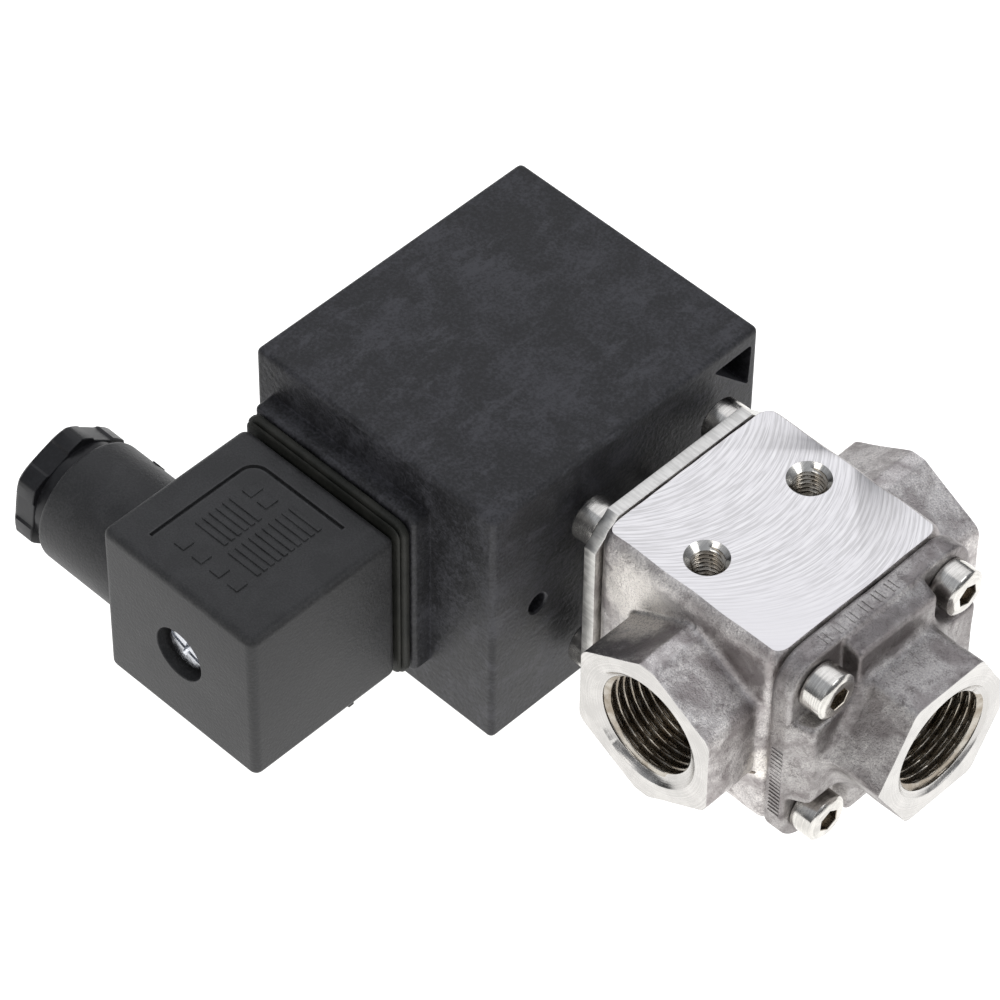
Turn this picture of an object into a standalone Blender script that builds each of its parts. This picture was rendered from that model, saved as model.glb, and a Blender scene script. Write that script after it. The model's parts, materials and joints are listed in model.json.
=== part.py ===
"""Solenoid valve: a 3/2-way seat valve with a moulded coil and a plug-in cable connector.

The dimensions below are in millimetres and are measured from the valve axis: X runs from the coil to the
end cover, Z is up, and x = 0 is the coil's face that looks at the valve. The connector sits on the -Y side.
The finished model stands with the middle of its bounding box's underside at the world origin.
"""

from math import cos, pi, radians, sin, tau

import bmesh
import bpy
from mathutils import Matrix

MM = 0.001
GAP = 0.3                      # clearance kept between neighbouring pieces

# Coil
COIL_LENGTH = 45.0
COIL_HALF_HEIGHT = 22.0
COIL_Y = (-28.8, 22.0)
COIL_EDGE = 0.8                # bevel on the moulded edges
BORE_RADIUS = 7.3              # through bore for the armature tube
MAGNET_X = (-41.0, -4.0)       # length of the hollow that holds winding and magnet iron
MAGNET_RADIUS = 18.3
PLATE_THICKNESS = 2.4
SLEEVE_WALL = 1.1
WINDING_INNER = 8.9
PEDESTAL_FACE_Y = -31.9
PEDESTAL_HALF = 15.2
POCKET_DEPTH = 14.0
PIN_HOLE = (-20.2, -0.5)       # y and z of the small round hole in the coil's front face
PIN_HOLE_RADIUS = 1.6
COIL_NUT_FLATS = 14.0

# Connector, centred on its fixing screw
CONNECTOR_X = -27.0
CONNECTOR_HALF_X = 14.4
CONNECTOR_HALF_Z = 13.8
CONNECTOR_Y = (-60.6, -34.3)
CONNECTOR_WALL = 2.0
GASKET_HALF = 15.0
GASKET_Y = (-34.0, -32.2)
BLADE_OFFSET = 9.0             # from the fixing screw to the middle of each blade
BLADE_WIDTH = 6.3
BLADE_THICKNESS = 0.8
BLADE_Y = (-43.0, -24.5)
BLOCK_HALF = 11.5
BLOCK_Y = (-48.0, -34.6)
CONTACT_Y = (-46.4, -35.0)
CONNECTOR_SCREW_RADIUS = 1.5
CONNECTOR_HEAD_RADIUS = 3.45
RECESS_RADIUS = 4.25
RECESS_FLOOR_Y = -56.2
GLAND_Y = -50.4                # gland axis, parallel to X
BARREL_RADIUS = 9.4
BARREL_END_X = -56.0
BARREL_BORE = 7.8
GLAND_NUT_X = (-62.0, -58.0)
GLAND_NUT_FLATS = 17.0
CABLE_RADIUS = 4.0

# Armature tube and what moves in it
TUBE_RADIUS = 7.0
TUBE_BORE = 6.4
TUBE_BACK_X = -38.0
TUBE_FLANGE_X = (7.7, 9.2)
TUBE_FLANGE_RADIUS = 12.0
TUBE_RING_RADIUS = 10.05       # middle of the O-ring under the tube's flange
CORE_FACE_X = -20.0
STUD_RADIUS = 4.0
PLUNGER_X = (-17.9, 10.0)
PLUNGER_RADIUS = 6.1
SPRING_RADIUS = 2.3
SPRING_WIRE = 0.35
SPRING_TURNS = 7
STEM_RADIUS = 2.0
STEM_X = (3.3, 31.2)
POPPET_X = (29.4, 32.4)
POPPET_RADIUS = 6.5
SEAL_THICKNESS = 1.0           # rubber discs on both sides of the poppet

# Valve body and end cover
PLATE_X = (5.4, 7.2)
PLATE_HALF = 17.2
PLATE_CHAMFER = 4.3
BODY_X = (7.5, 38.7)
BODY_HALF_HEIGHT = 17.0
BODY_HALF_WIDTH = 16.85
BODY_CHAMFER = (1.45, 2.4)              # width in Y and height in Z of the body's four long chamfers
PORT_X = 25.5                           # axis of the two side ports
PORT_FACE_Y = 26.5
PORT_FLATS = 23.0
PORT_BORE = 7.475                       # G3/8 core radius
PORT_MOUTH = 9.1
PORT_FLOOR_Y = 14.0
COVER_FLANGE_X = (39.0, 42.5)
COVER_HALF = 17.5
COVER_CORNER = 5.0
CROSS_X = 45.5
CROSS_ARM = 7.5
CROSS_REACH = 15.8
COVER_PORT_X = 54.6
COVER_PORT_FLATS = 22.3
COVER_PORT_FLOOR_X = 42.2
COVER_PASSAGE_RADIUS = 3.5
BODY_PASSAGE_RADIUS = 2.7
LEFT_PASSAGE_X = 30.2                   # passages from the side ports into the chambers
RIGHT_PASSAGE_X = 20.8
SCREW_OFFSET = 12.5                     # of the M4 screws, in Y and in Z
SCREW_RADIUS = 1.95
SCREW_HEAD_RADIUS = 3.5
SCREW_SOCKET_FLATS = 3.0
MOUNT_HOLE_X = 20.5
MOUNT_HOLE_Y = 9.9
MOUNT_HOLE_RADIUS = 2.1
MOUNT_HOLE_CHAMFER = 1.05
MOUNT_HOLE_FLOOR_Z = 8.5
CHAMBER_RADIUS = 9.0
REAR_CHAMBER_RADIUS = 7.5
SEAT_RADIUS = 4.0
INNER_SEAT_X = 26.0
COVER_SEAT_X = 34.0

ROUND = 32                              # facets on a large circle
INNER_ROUND = 24                        # on the pieces hidden inside
SMALL_ROUND = 16
SCREW_ROUND = 18                        # a multiple of six, shared by the head and its hexagon socket


# ---------------------------------------------------------------- tools

def clear_scene():
    for obj in list(bpy.data.objects):
        bpy.data.objects.remove(obj, do_unlink=True)


def make_material(name, colour, roughness, metallic=0.0):
    material = bpy.data.materials.new(name)
    material.use_nodes = True
    shader = material.node_tree.nodes["Principled BSDF"]
    shader.inputs["Base Color"].default_value = (*colour, 1.0)
    shader.inputs["Roughness"].default_value = roughness
    shader.inputs["Metallic"].default_value = metallic
    material.diffuse_color = (*colour, 1.0)
    return material


def axis_turn(axis):
    """Rotation that lays the X axis along the named axis."""
    if axis == "Y":
        return Matrix.Rotation(pi / 2, 4, "Z")
    if axis == "Z":
        return Matrix.Rotation(-pi / 2, 4, "Y")
    return Matrix.Identity(4)


def place(name, bm, material, axis="X", at=(0, 0, 0), flip=False):
    """Makes an object from a bmesh drawn along X in millimetres, and hangs it on the valve axis."""
    turn = axis_turn(axis)
    if flip:
        turn = turn @ Matrix.Rotation(pi, 4, "Z")
    bm.transform(Matrix.Scale(MM, 4) @ turn)
    bmesh.ops.recalc_face_normals(bm, faces=bm.faces)
    mesh = bpy.data.meshes.new(name)
    bm.to_mesh(mesh)
    bm.free()
    mesh.shade_smooth()
    mesh.set_sharp_from_angle(angle=radians(35))
    if material:
        mesh.materials.append(material)
    obj = bpy.data.objects.new(name, mesh)
    bpy.context.scene.collection.objects.link(obj)
    obj.parent = bpy.data.objects["valve_axis"]
    obj.location = [value * MM for value in at]
    return obj


def circle(radius, count=ROUND, start=0.0):
    """(y, z) points of a circle."""
    angles = [start + tau * i / count for i in range(count)]
    return [(radius * cos(a), radius * sin(a)) for a in angles]


def hexagon(across_flats, count=24, start=0.0):
    """Points on a hexagon with a corner at angle start, spaced evenly in angle."""
    points = []
    for i in range(count):
        angle = tau * i / count
        radius = across_flats / 2 / cos(angle % (pi / 3) - pi / 6)
        points.append((radius * cos(angle + start), radius * sin(angle + start)))
    return points


def rectangle(half_y, half_z, corner=0.0, steps=4):
    """Points of a rectangle about the axis, its corners rounded when corner is given."""
    if not corner:
        return [(half_y, half_z), (-half_y, half_z), (-half_y, -half_z), (half_y, -half_z)]
    points = []
    for quarter, (sy, sz) in enumerate(((1, 1), (-1, 1), (-1, -1), (1, -1))):
        for i in range(steps + 1):
            angle = pi / 2 * (quarter + i / steps)
            y = sy * (half_y - corner) + corner * cos(angle)
            z = sz * (half_z - corner) + corner * sin(angle)
            points.append((y, z))
    return points


def chamfered(half_y, half_z, cut_y, cut_z):
    """Points of a rectangle about the axis whose corners are cut off by cut_y and cut_z."""
    a, b = half_y, half_z
    c, d = half_y - cut_y, half_z - cut_z
    return [(a, d), (c, b), (-c, b), (-a, d), (-a, -d), (-c, -b), (c, -b), (a, -d)]


def turned(name, profile, material, steps=ROUND, **where):
    """Turns a profile of (x, radius) points about X. It is a ring unless it starts and ends on the axis."""
    bm = bmesh.new()
    chain = [bm.verts.new((x, 0, radius)) for x, radius in profile]
    edges = [bm.edges.new(pair) for pair in zip(chain, chain[1:])]
    if profile[0][1] > 0:
        edges.append(bm.edges.new((chain[-1], chain[0])))
    bmesh.ops.spin(bm, geom=chain + edges, axis=(1, 0, 0), angle=tau, steps=steps)
    bmesh.ops.remove_doubles(bm, verts=bm.verts, dist=1e-4)
    return place(name, bm, material, **where)


def lofted(name, sections, material, ring=False, **where):
    """Joins outlines of equal length, given as (x, points). A ring closes on itself; the rest get caps."""
    bm = bmesh.new()
    loops = [[bm.verts.new((x, y, z)) for y, z in points] for x, points in sections]
    pairs = list(zip(loops, loops[1:]))
    if ring:
        pairs.append((loops[-1], loops[0]))
    for first, second in pairs:
        for i in range(len(first)):
            j = (i + 1) % len(first)
            bm.faces.new((first[i], first[j], second[j], second[i]))
    if not ring:
        bm.faces.new(loops[0])
        bm.faces.new(loops[-1])
    return place(name, bm, material, **where)


def prism(name, outline, low, high, material, **where):
    """Extrudes an outline of (y, z) points along X."""
    return lofted(name, [(low, outline), (high, outline)], material, **where)


def block(name, x, y, z, material):
    """A box between the given limits."""
    middle_y = (y[0] + y[1]) / 2
    middle_z = (z[0] + z[1]) / 2
    outline = rectangle((y[1] - y[0]) / 2, (z[1] - z[0]) / 2)
    return prism(name, outline, x[0], x[1], material, at=(0, middle_y, middle_z))


def bevel(obj, width, segments=2):
    modifier = obj.modifiers.new("bevel", "BEVEL")
    modifier.width = width * MM
    modifier.segments = segments
    modifier.limit_method = "ANGLE"


def combine(obj, other, operation):
    other.hide_render = True
    other.display_type = "WIRE"
    modifier = obj.modifiers.new(other.name, "BOOLEAN")
    modifier.operation = operation
    modifier.object = other


def cut(obj, *cutters):
    for cutter in cutters:
        combine(obj, cutter, "DIFFERENCE")


def fuse(obj, *others):
    for other in others:
        combine(obj, other, "UNION")


def corners(offset):
    """The four screw places about the axis, anticlockwise."""
    return [(offset, offset), (-offset, offset), (-offset, -offset), (offset, -offset)]


# ---------------------------------------------------------------- coil

def make_coil(finish):
    housing = block("coil_housing", (-COIL_LENGTH, 0), COIL_Y, (-COIL_HALF_HEIGHT, COIL_HALF_HEIGHT),
                    finish["coil_black"])
    bevel(housing, COIL_EDGE)
    pedestal_x = (CONNECTOR_X - PEDESTAL_HALF, CONNECTOR_X + PEDESTAL_HALF)
    pedestal = block("pedestal", pedestal_x, (PEDESTAL_FACE_Y, COIL_Y[0] + 2),
                     (-PEDESTAL_HALF, PEDESTAL_HALF), None)
    bevel(pedestal, COIL_EDGE)
    fuse(housing, pedestal)

    back, front = MAGNET_X
    hollow = [(-COIL_LENGTH - 1, 0), (-COIL_LENGTH - 1, BORE_RADIUS), (back, BORE_RADIUS),
              (back, MAGNET_RADIUS), (front, MAGNET_RADIUS), (front, BORE_RADIUS),
              (1, BORE_RADIUS), (1, 0)]
    cut(housing, turned("magnet_hollow", hollow, None))
    for side in (1, -1):
        points = [(20.7, 19.5 * side), (13.2, 19.3 * side), (20.3, 12.0 * side)]
        pocket = prism(f"corner_pocket_{side}", points, -POCKET_DEPTH, 1, None)
        bevel(pocket, 0.8)
        cut(housing, pocket)
    y, z = PIN_HOLE
    cut(housing, prism("pin_hole", circle(PIN_HOLE_RADIUS, SMALL_ROUND), -8, 1, None, at=(0, y, z)))
    slot_bottom = BLADE_Y[1] + GAP
    for name, x, z, width_x, width_z in blade_places(GAP):
        cut(housing, block(name + "_slot", (x - width_x, x + width_x), (-33, slot_bottom),
                           (z - width_z, z + width_z), None))
    cut(housing, prism("fixing_thread", circle(CONNECTOR_SCREW_RADIUS + GAP, SMALL_ROUND), -33, -25.2, None,
                       axis="Y", at=(CONNECTOR_X, 0, 0)))

    plate_radius = MAGNET_RADIUS - GAP
    plate_places = (("flux_plate_rear", back + GAP), ("flux_plate_front", front - GAP - PLATE_THICKNESS))
    for name, x in plate_places:
        turned(name, [(x, BORE_RADIUS), (x, plate_radius), (x + PLATE_THICKNESS, plate_radius),
                      (x + PLATE_THICKNESS, BORE_RADIUS)], finish["magnet_steel"], steps=INNER_ROUND)
    inner_back = back + PLATE_THICKNESS + 2 * GAP
    inner_front = front - PLATE_THICKNESS - 2 * GAP
    sleeve_inner = plate_radius - SLEEVE_WALL
    turned("flux_sleeve", [(inner_back, sleeve_inner), (inner_back, plate_radius),
                           (inner_front, plate_radius), (inner_front, sleeve_inner)],
           finish["magnet_steel"], steps=INNER_ROUND)
    bobbin_wall = 1.1
    flange = sleeve_inner - GAP
    bobbin_inner = BORE_RADIUS + 0.2
    bobbin_outer = WINDING_INNER - GAP
    turned("coil_bobbin", [(inner_back, bobbin_inner), (inner_back, flange),
                           (inner_back + bobbin_wall, flange), (inner_back + bobbin_wall, bobbin_outer),
                           (inner_front - bobbin_wall, bobbin_outer), (inner_front - bobbin_wall, flange),
                           (inner_front, flange), (inner_front, bobbin_inner)],
           finish["bobbin_plastic"], steps=INNER_ROUND)
    winding_back = inner_back + bobbin_wall + GAP
    winding_front = inner_front - bobbin_wall - GAP
    winding_outer = flange - 0.5
    turned("coil_winding", [(winding_back, WINDING_INNER), (winding_back, winding_outer),
                            (winding_front, winding_outer), (winding_front, WINDING_INNER)],
           finish["copper"], steps=INNER_ROUND)


def blade_places(clearance=0.0):
    """Name, x, z and half sizes in X and Z of the two power blades and the earth blade."""
    wide = BLADE_WIDTH / 2 + clearance
    thin = BLADE_THICKNESS / 2 + clearance
    return [("terminal_blade_1", CONNECTOR_X, BLADE_OFFSET, wide, thin),
            ("terminal_blade_2", CONNECTOR_X, -BLADE_OFFSET, wide, thin),
            ("earth_blade", CONNECTOR_X - BLADE_OFFSET, 0.0, thin, wide)]


def make_coil_fixing(finish):
    washer_back = -COIL_LENGTH - GAP - 1.0
    turned("coil_washer", [(washer_back, STUD_RADIUS + GAP), (washer_back, 8.5),
                           (washer_back + 1.0, 8.5), (washer_back + 1.0, STUD_RADIUS + GAP)],
           finish["black_rubber"])
    nut_front = washer_back - GAP
    nut_back = nut_front - 4.8
    hole = circle(STUD_RADIUS + GAP, 24)
    rim = hexagon(COIL_NUT_FLATS)
    chamfer = circle(COIL_NUT_FLATS / 2 - 0.3, 24)
    lofted("coil_nut", [(nut_back, hole), (nut_back, chamfer), (nut_back + 0.7, rim), (nut_front, rim),
                        (nut_front, hole)], finish["zinc_steel"], ring=True)


# ---------------------------------------------------------------- connector

def make_connector(finish):
    low_y, high_y = CONNECTOR_Y
    x_range = (CONNECTOR_X - CONNECTOR_HALF_X, CONNECTOR_X + CONNECTOR_HALF_X)
    z_range = (-CONNECTOR_HALF_Z, CONNECTOR_HALF_Z)
    housing = block("connector_housing", x_range, CONNECTOR_Y, z_range, finish["connector_black"])
    bevel(housing, 1.0)
    barrel = prism("gland_barrel", circle(BARREL_RADIUS), BARREL_END_X, x_range[0] + 1, None,
                   at=(0, GLAND_Y, 0))
    fuse(housing, barrel)
    inside = CONNECTOR_WALL
    cavity = block("connector_cavity", (x_range[0] + inside, x_range[1] - inside),
                   (low_y + inside, high_y + 1), (z_range[0] + inside, z_range[1] - inside), None)
    cut(housing, cavity)
    boss_end = RECESS_FLOOR_Y + 2.4
    fuse(housing, prism("screw_boss", circle(6.0, INNER_ROUND), low_y + 1, boss_end, None,
                        axis="Y", at=(CONNECTOR_X, 0, 0)))
    clearance = CONNECTOR_SCREW_RADIUS + GAP
    cut(housing, turned("screw_recess", [(low_y - 1, 0), (low_y - 1, RECESS_RADIUS),
                                         (RECESS_FLOOR_Y, RECESS_RADIUS), (RECESS_FLOOR_Y, clearance),
                                         (boss_end + 1, clearance), (boss_end + 1, 0)],
                        None, steps=INNER_ROUND, axis="Y", at=(CONNECTOR_X, 0, 0)))
    shoulder_x = x_range[0] + 0.6
    cut(housing, turned("gland_bore", [(BARREL_END_X - 1, 0), (BARREL_END_X - 1, BARREL_BORE),
                                       (shoulder_x, BARREL_BORE), (shoulder_x, 5.0),
                                       (x_range[0] + inside + 1, 5.0), (x_range[0] + inside + 1, 0)],
                        None, at=(0, GLAND_Y, 0)))

    gasket = prism("connector_gasket", rectangle(GASKET_HALF, GASKET_HALF, 1.5, 3),
                   GASKET_Y[0], GASKET_Y[1], finish["black_rubber"], axis="Y", at=(CONNECTOR_X, 0, 0))
    cut(gasket, prism("gasket_screw_hole", circle(2.2, SMALL_ROUND), GASKET_Y[0] - 1, GASKET_Y[1] + 1, None,
                      axis="Y", at=(CONNECTOR_X, 0, 0)))
    block_body = prism("terminal_block", rectangle(BLOCK_HALF, BLOCK_HALF), BLOCK_Y[0], BLOCK_Y[1],
                       finish["bobbin_plastic"], axis="Y", at=(CONNECTOR_X, 0, 0))
    cut(block_body, prism("block_screw_hole", circle(clearance, SMALL_ROUND),
                          BLOCK_Y[0] - 1, BLOCK_Y[1] + 1, None, axis="Y", at=(CONNECTOR_X, 0, 0)))
    for number, (name, x, z, wide, thin) in enumerate(blade_places(), 1):
        make_terminal(number, name, (x, z), (wide, thin), gasket, block_body, finish)

    seat_y = RECESS_FLOOR_Y - GAP
    head_top = seat_y - 2.4
    thread_end = -25.6
    head = CONNECTOR_HEAD_RADIUS
    shank = CONNECTOR_SCREW_RADIUS
    screw = turned("connector_screw", [(head_top, 0), (head_top, head - 1.0), (head_top + 0.6, head - 0.1),
                                       (seat_y, head), (seat_y, shank), (thread_end, shank),
                                       (thread_end, 0)],
                   finish["zinc_steel"], steps=INNER_ROUND, axis="Y", at=(CONNECTOR_X, 0, 0))
    cut(screw, block("screw_slot", (CONNECTOR_X - 4, CONNECTOR_X + 4), (head_top - 1, head_top + 1.0),
                     (-0.45, 0.45), None))


def make_terminal(number, name, place_xz, half, gasket, block_body, finish):
    """One blade, its brass contact and its clamping screw, with the openings they need."""
    x, z = place_xz
    half_x, half_z = half
    contact_x = half_x + 0.8
    contact_z = half_z + 0.8

    def box(label, grow_x, grow_z, y, material=None):
        return block(label, (x - grow_x, x + grow_x), y, (z - grow_z, z + grow_z), material)

    box(name, half_x, half_z, BLADE_Y, finish["brass"])
    cut(gasket, box(name + "_gasket_slot", half_x + 0.4, half_z + 0.4, (GASKET_Y[0] - 1, GASKET_Y[1] + 1)))
    cut(block_body, box(name + "_block_slot", contact_x + GAP, contact_z + GAP,
                        (CONTACT_Y[0] - GAP, BLOCK_Y[1] + 1)))
    contact = box(f"terminal_contact_{number}", contact_x, contact_z, CONTACT_Y, finish["brass"])
    cut(contact, box(name + "_contact_slot", half_x + GAP, half_z + GAP,
                     (BLADE_Y[0] - GAP, CONTACT_Y[1] + 1)))
    screw_radius = 0.8
    screw_hole = circle(screw_radius + GAP, 12)
    cut(contact, prism(f"contact_thread_{number}", screw_hole, CONTACT_Y[0] - 1, CONTACT_Y[0] + 2.4, None,
                       axis="Y", at=(x, 0, z)))
    cut(block_body, prism(f"block_thread_{number}", screw_hole, BLOCK_Y[0] - 1, CONTACT_Y[0], None,
                          axis="Y", at=(x, 0, z)))
    head = BLOCK_Y[0] - GAP
    lofted(f"terminal_screw_{number}", [(head - 1.2, circle(1.7, 12)), (head, circle(1.9, 12)),
                                        (head, circle(screw_radius, 12)),
                                        (CONTACT_Y[0] + 2.0, circle(screw_radius, 12))],
           finish["zinc_steel"], axis="Y", at=(x, 0, z))


def make_gland(finish):
    spigot = BARREL_BORE - GAP
    spigot_end = -47.0
    nut_face, nut_back = GLAND_NUT_X
    neck_end = BARREL_END_X - GAP
    neck = BARREL_BORE + 0.2
    hole = circle(CABLE_RADIUS, 24)
    corner = radians(22)
    lofted("gland_nut", [(nut_face, hole), (nut_face, circle(GLAND_NUT_FLATS / 2 - 0.3, 24, corner)),
                         (nut_face + 0.8, hexagon(GLAND_NUT_FLATS, 24, corner)),
                         (nut_back, hexagon(GLAND_NUT_FLATS, 24, corner)),
                         (nut_back, circle(neck, 24, corner)), (neck_end, circle(neck, 24, corner)),
                         (neck_end, circle(spigot, 24, corner)), (spigot_end, circle(spigot, 24, corner)),
                         (spigot_end, hole)],
           finish["gland_black"], ring=True, at=(0, GLAND_Y, 0))
    washer_back = spigot_end + GAP
    washer_front = washer_back + 0.7
    washer_hole = CABLE_RADIUS + 0.2
    turned("gland_washer", [(washer_back, washer_hole), (washer_back, spigot), (washer_front, spigot),
                            (washer_front, washer_hole)],
           finish["gland_black"], steps=INNER_ROUND, at=(0, GLAND_Y, 0))
    seal_back = washer_front + GAP
    seal_front = seal_back + 4.5
    seal_outer = spigot - 0.1
    seal_hole = CABLE_RADIUS - 0.4
    turned("gland_seal", [(seal_back, seal_hole), (seal_back, seal_outer), (seal_front, seal_outer),
                          (seal_front, seal_hole)],
           finish["black_rubber"], steps=INNER_ROUND, at=(0, GLAND_Y, 0))


# ---------------------------------------------------------------- armature

def make_armature_tube(finish):
    flange_back, flange_front = TUBE_FLANGE_X
    turned("armature_tube", [(TUBE_BACK_X, TUBE_BORE), (TUBE_BACK_X, TUBE_RADIUS),
                             (flange_back, TUBE_RADIUS), (flange_back, TUBE_FLANGE_RADIUS),
                             (flange_front, TUBE_FLANGE_RADIUS), (flange_front, TUBE_BORE)],
           finish["stainless"])
    core_radius = TUBE_BORE - GAP
    collar_front = TUBE_BACK_X - GAP
    collar_back = collar_front - 3.1
    stud_end = -COIL_LENGTH - 7.0
    groove = (2.9, 4.9)
    groove_floor = CORE_FACE_X - 1.9
    turned("fixed_core", [(stud_end, 0), (stud_end, STUD_RADIUS), (collar_back, STUD_RADIUS),
                          (collar_back, TUBE_RADIUS), (collar_front, TUBE_RADIUS),
                          (collar_front, core_radius), (CORE_FACE_X, core_radius),
                          (CORE_FACE_X, groove[1]), (groove_floor, groove[1]), (groove_floor, groove[0]),
                          (CORE_FACE_X, groove[0]), (CORE_FACE_X, 0)],
           finish["magnet_steel"], steps=INNER_ROUND)
    ring_back = groove_floor + GAP
    ring_front = CORE_FACE_X - 0.2
    ring_inner = groove[0] + GAP
    ring_outer = groove[1] - GAP
    turned("shading_ring", [(ring_back, ring_inner), (ring_back, ring_outer), (ring_front, ring_outer),
                            (ring_front, ring_inner)], finish["copper"], steps=INNER_ROUND)


def make_moving_parts(finish):
    """Plunger, stem, poppet and its two seals slide together along X, towards the core when it pulls."""
    back, front = PLUNGER_X
    spring_floor = -8.0
    stem_floor = STEM_X[0] - GAP
    stem_hole = STEM_RADIUS + GAP
    turned("plunger", [(spring_floor, 0), (spring_floor, 3.2), (back, 3.2), (back, PLUNGER_RADIUS),
                       (front, PLUNGER_RADIUS), (front, stem_hole), (stem_floor, stem_hole),
                       (stem_floor, 0)], finish["magnet_steel"], steps=INNER_ROUND)
    stem_back, stem_front = STEM_X
    turned("poppet_stem", [(stem_back, 0), (stem_back, STEM_RADIUS), (stem_front, STEM_RADIUS),
                           (stem_front, 0)], finish["stainless"], steps=SMALL_ROUND)
    hole_floor = STEM_X[1] + GAP
    poppet_back, poppet_front = POPPET_X
    turned("poppet", [(poppet_back, stem_hole), (poppet_back, POPPET_RADIUS), (poppet_front, POPPET_RADIUS),
                      (poppet_front, 0), (hole_floor, 0), (hole_floor, stem_hole)],
           finish["brass"], steps=INNER_ROUND)
    seal_radius = POPPET_RADIUS - 0.5
    rear_front = poppet_back - GAP
    rear_back = rear_front - SEAL_THICKNESS
    turned("rear_seal_disc", [(rear_back, stem_hole), (rear_back, seal_radius), (rear_front, seal_radius),
                              (rear_front, stem_hole)], finish["black_rubber"], steps=INNER_ROUND)
    front_back = poppet_front + GAP
    front_front = front_back + SEAL_THICKNESS
    turned("front_seal_disc", [(front_back, 0), (front_back, seal_radius), (front_front, seal_radius),
                               (front_front, 0)], finish["black_rubber"], steps=INNER_ROUND)
    make_spring(CORE_FACE_X + GAP, spring_floor - GAP, finish["stainless"])


def make_spring(back, front, material):
    """Compression spring: a round wire wound on a helix about X."""
    steps_per_turn = 10
    wire_sides = 6
    count = SPRING_TURNS * steps_per_turn
    length = front - back - 2 * SPRING_WIRE
    sections = []
    bm = bmesh.new()
    for i in range(count + 1):
        angle = tau * i / steps_per_turn
        centre_x = back + SPRING_WIRE + length * i / count
        ring = []
        for k in range(wire_sides):
            around = tau * k / wire_sides
            radius = SPRING_RADIUS + SPRING_WIRE * cos(around)
            x = centre_x + SPRING_WIRE * sin(around)
            ring.append(bm.verts.new((x, radius * cos(angle), radius * sin(angle))))
        sections.append(ring)
    for first, second in zip(sections, sections[1:]):
        for k in range(wire_sides):
            j = (k + 1) % wire_sides
            bm.faces.new((first[k], first[j], second[j], second[k]))
    bm.faces.new(sections[0])
    bm.faces.new(sections[-1])
    return place("return_spring", bm, material)


# ---------------------------------------------------------------- valve body and cover

def screw_sections(head_top, seat, tip):
    """Sections of a socket-head screw lying along X, from its socket to its tip."""
    inward = 1 if seat > head_top else -1
    socket = hexagon(SCREW_SOCKET_FLATS, SCREW_ROUND)
    head = circle(SCREW_HEAD_RADIUS, SCREW_ROUND)
    shank = circle(SCREW_RADIUS, SCREW_ROUND)
    return [(head_top + inward * 2.0, socket), (head_top, socket),
            (head_top, circle(SCREW_HEAD_RADIUS - 0.4, SCREW_ROUND)), (head_top + inward * 0.4, head),
            (seat, head), (seat, shank), (tip - inward * 0.5, shank),
            (tip, circle(SCREW_RADIUS - 0.5, SCREW_ROUND))]


def make_screws(finish):
    flange = screw_sections(PLATE_X[0] - 4.0, PLATE_X[0] - GAP, 16.6)
    cover = screw_sections(COVER_FLANGE_X[1] + 4.0, COVER_FLANGE_X[1] + GAP, 27.5)
    for number, (y, z) in enumerate(corners(SCREW_OFFSET), 1):
        lofted(f"flange_screw_{number}", flange, finish["stainless"], at=(0, y, z))
        lofted(f"cover_screw_{number}", cover, finish["stainless"], at=(0, y, z))


def screw_holes(name, low, high):
    """Four clearance cutters for the M4 screws."""
    outline = circle(SCREW_RADIUS + GAP, SMALL_ROUND)
    return [prism(f"{name}_{i}", outline, low, high, None, at=(0, y, z))
            for i, (y, z) in enumerate(corners(SCREW_OFFSET), 1)]


def make_flange_plate(finish):
    outline = chamfered(PLATE_HALF, PLATE_HALF, PLATE_CHAMFER, PLATE_CHAMFER)
    plate = prism("tube_flange_plate", outline, *PLATE_X, finish["machined_steel"])
    cut(plate, prism("plate_bore", circle(TUBE_RADIUS + GAP), PLATE_X[0] - 1, PLATE_X[1] + 1, None))
    cut(plate, *screw_holes("plate_hole", PLATE_X[0] - 1, PLATE_X[1] + 1))


def port_cutter(name, face, floor, **where):
    """Cutter for one G3/8 port along X: threaded bore with a chamfered mouth at face."""
    mouth_depth = PORT_MOUTH - PORT_BORE
    return turned(name, [(floor, 0), (floor, PORT_BORE), (face - mouth_depth, PORT_BORE),
                         (face + 1, PORT_MOUTH + 1), (face + 1, 0)], None, **where)


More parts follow.
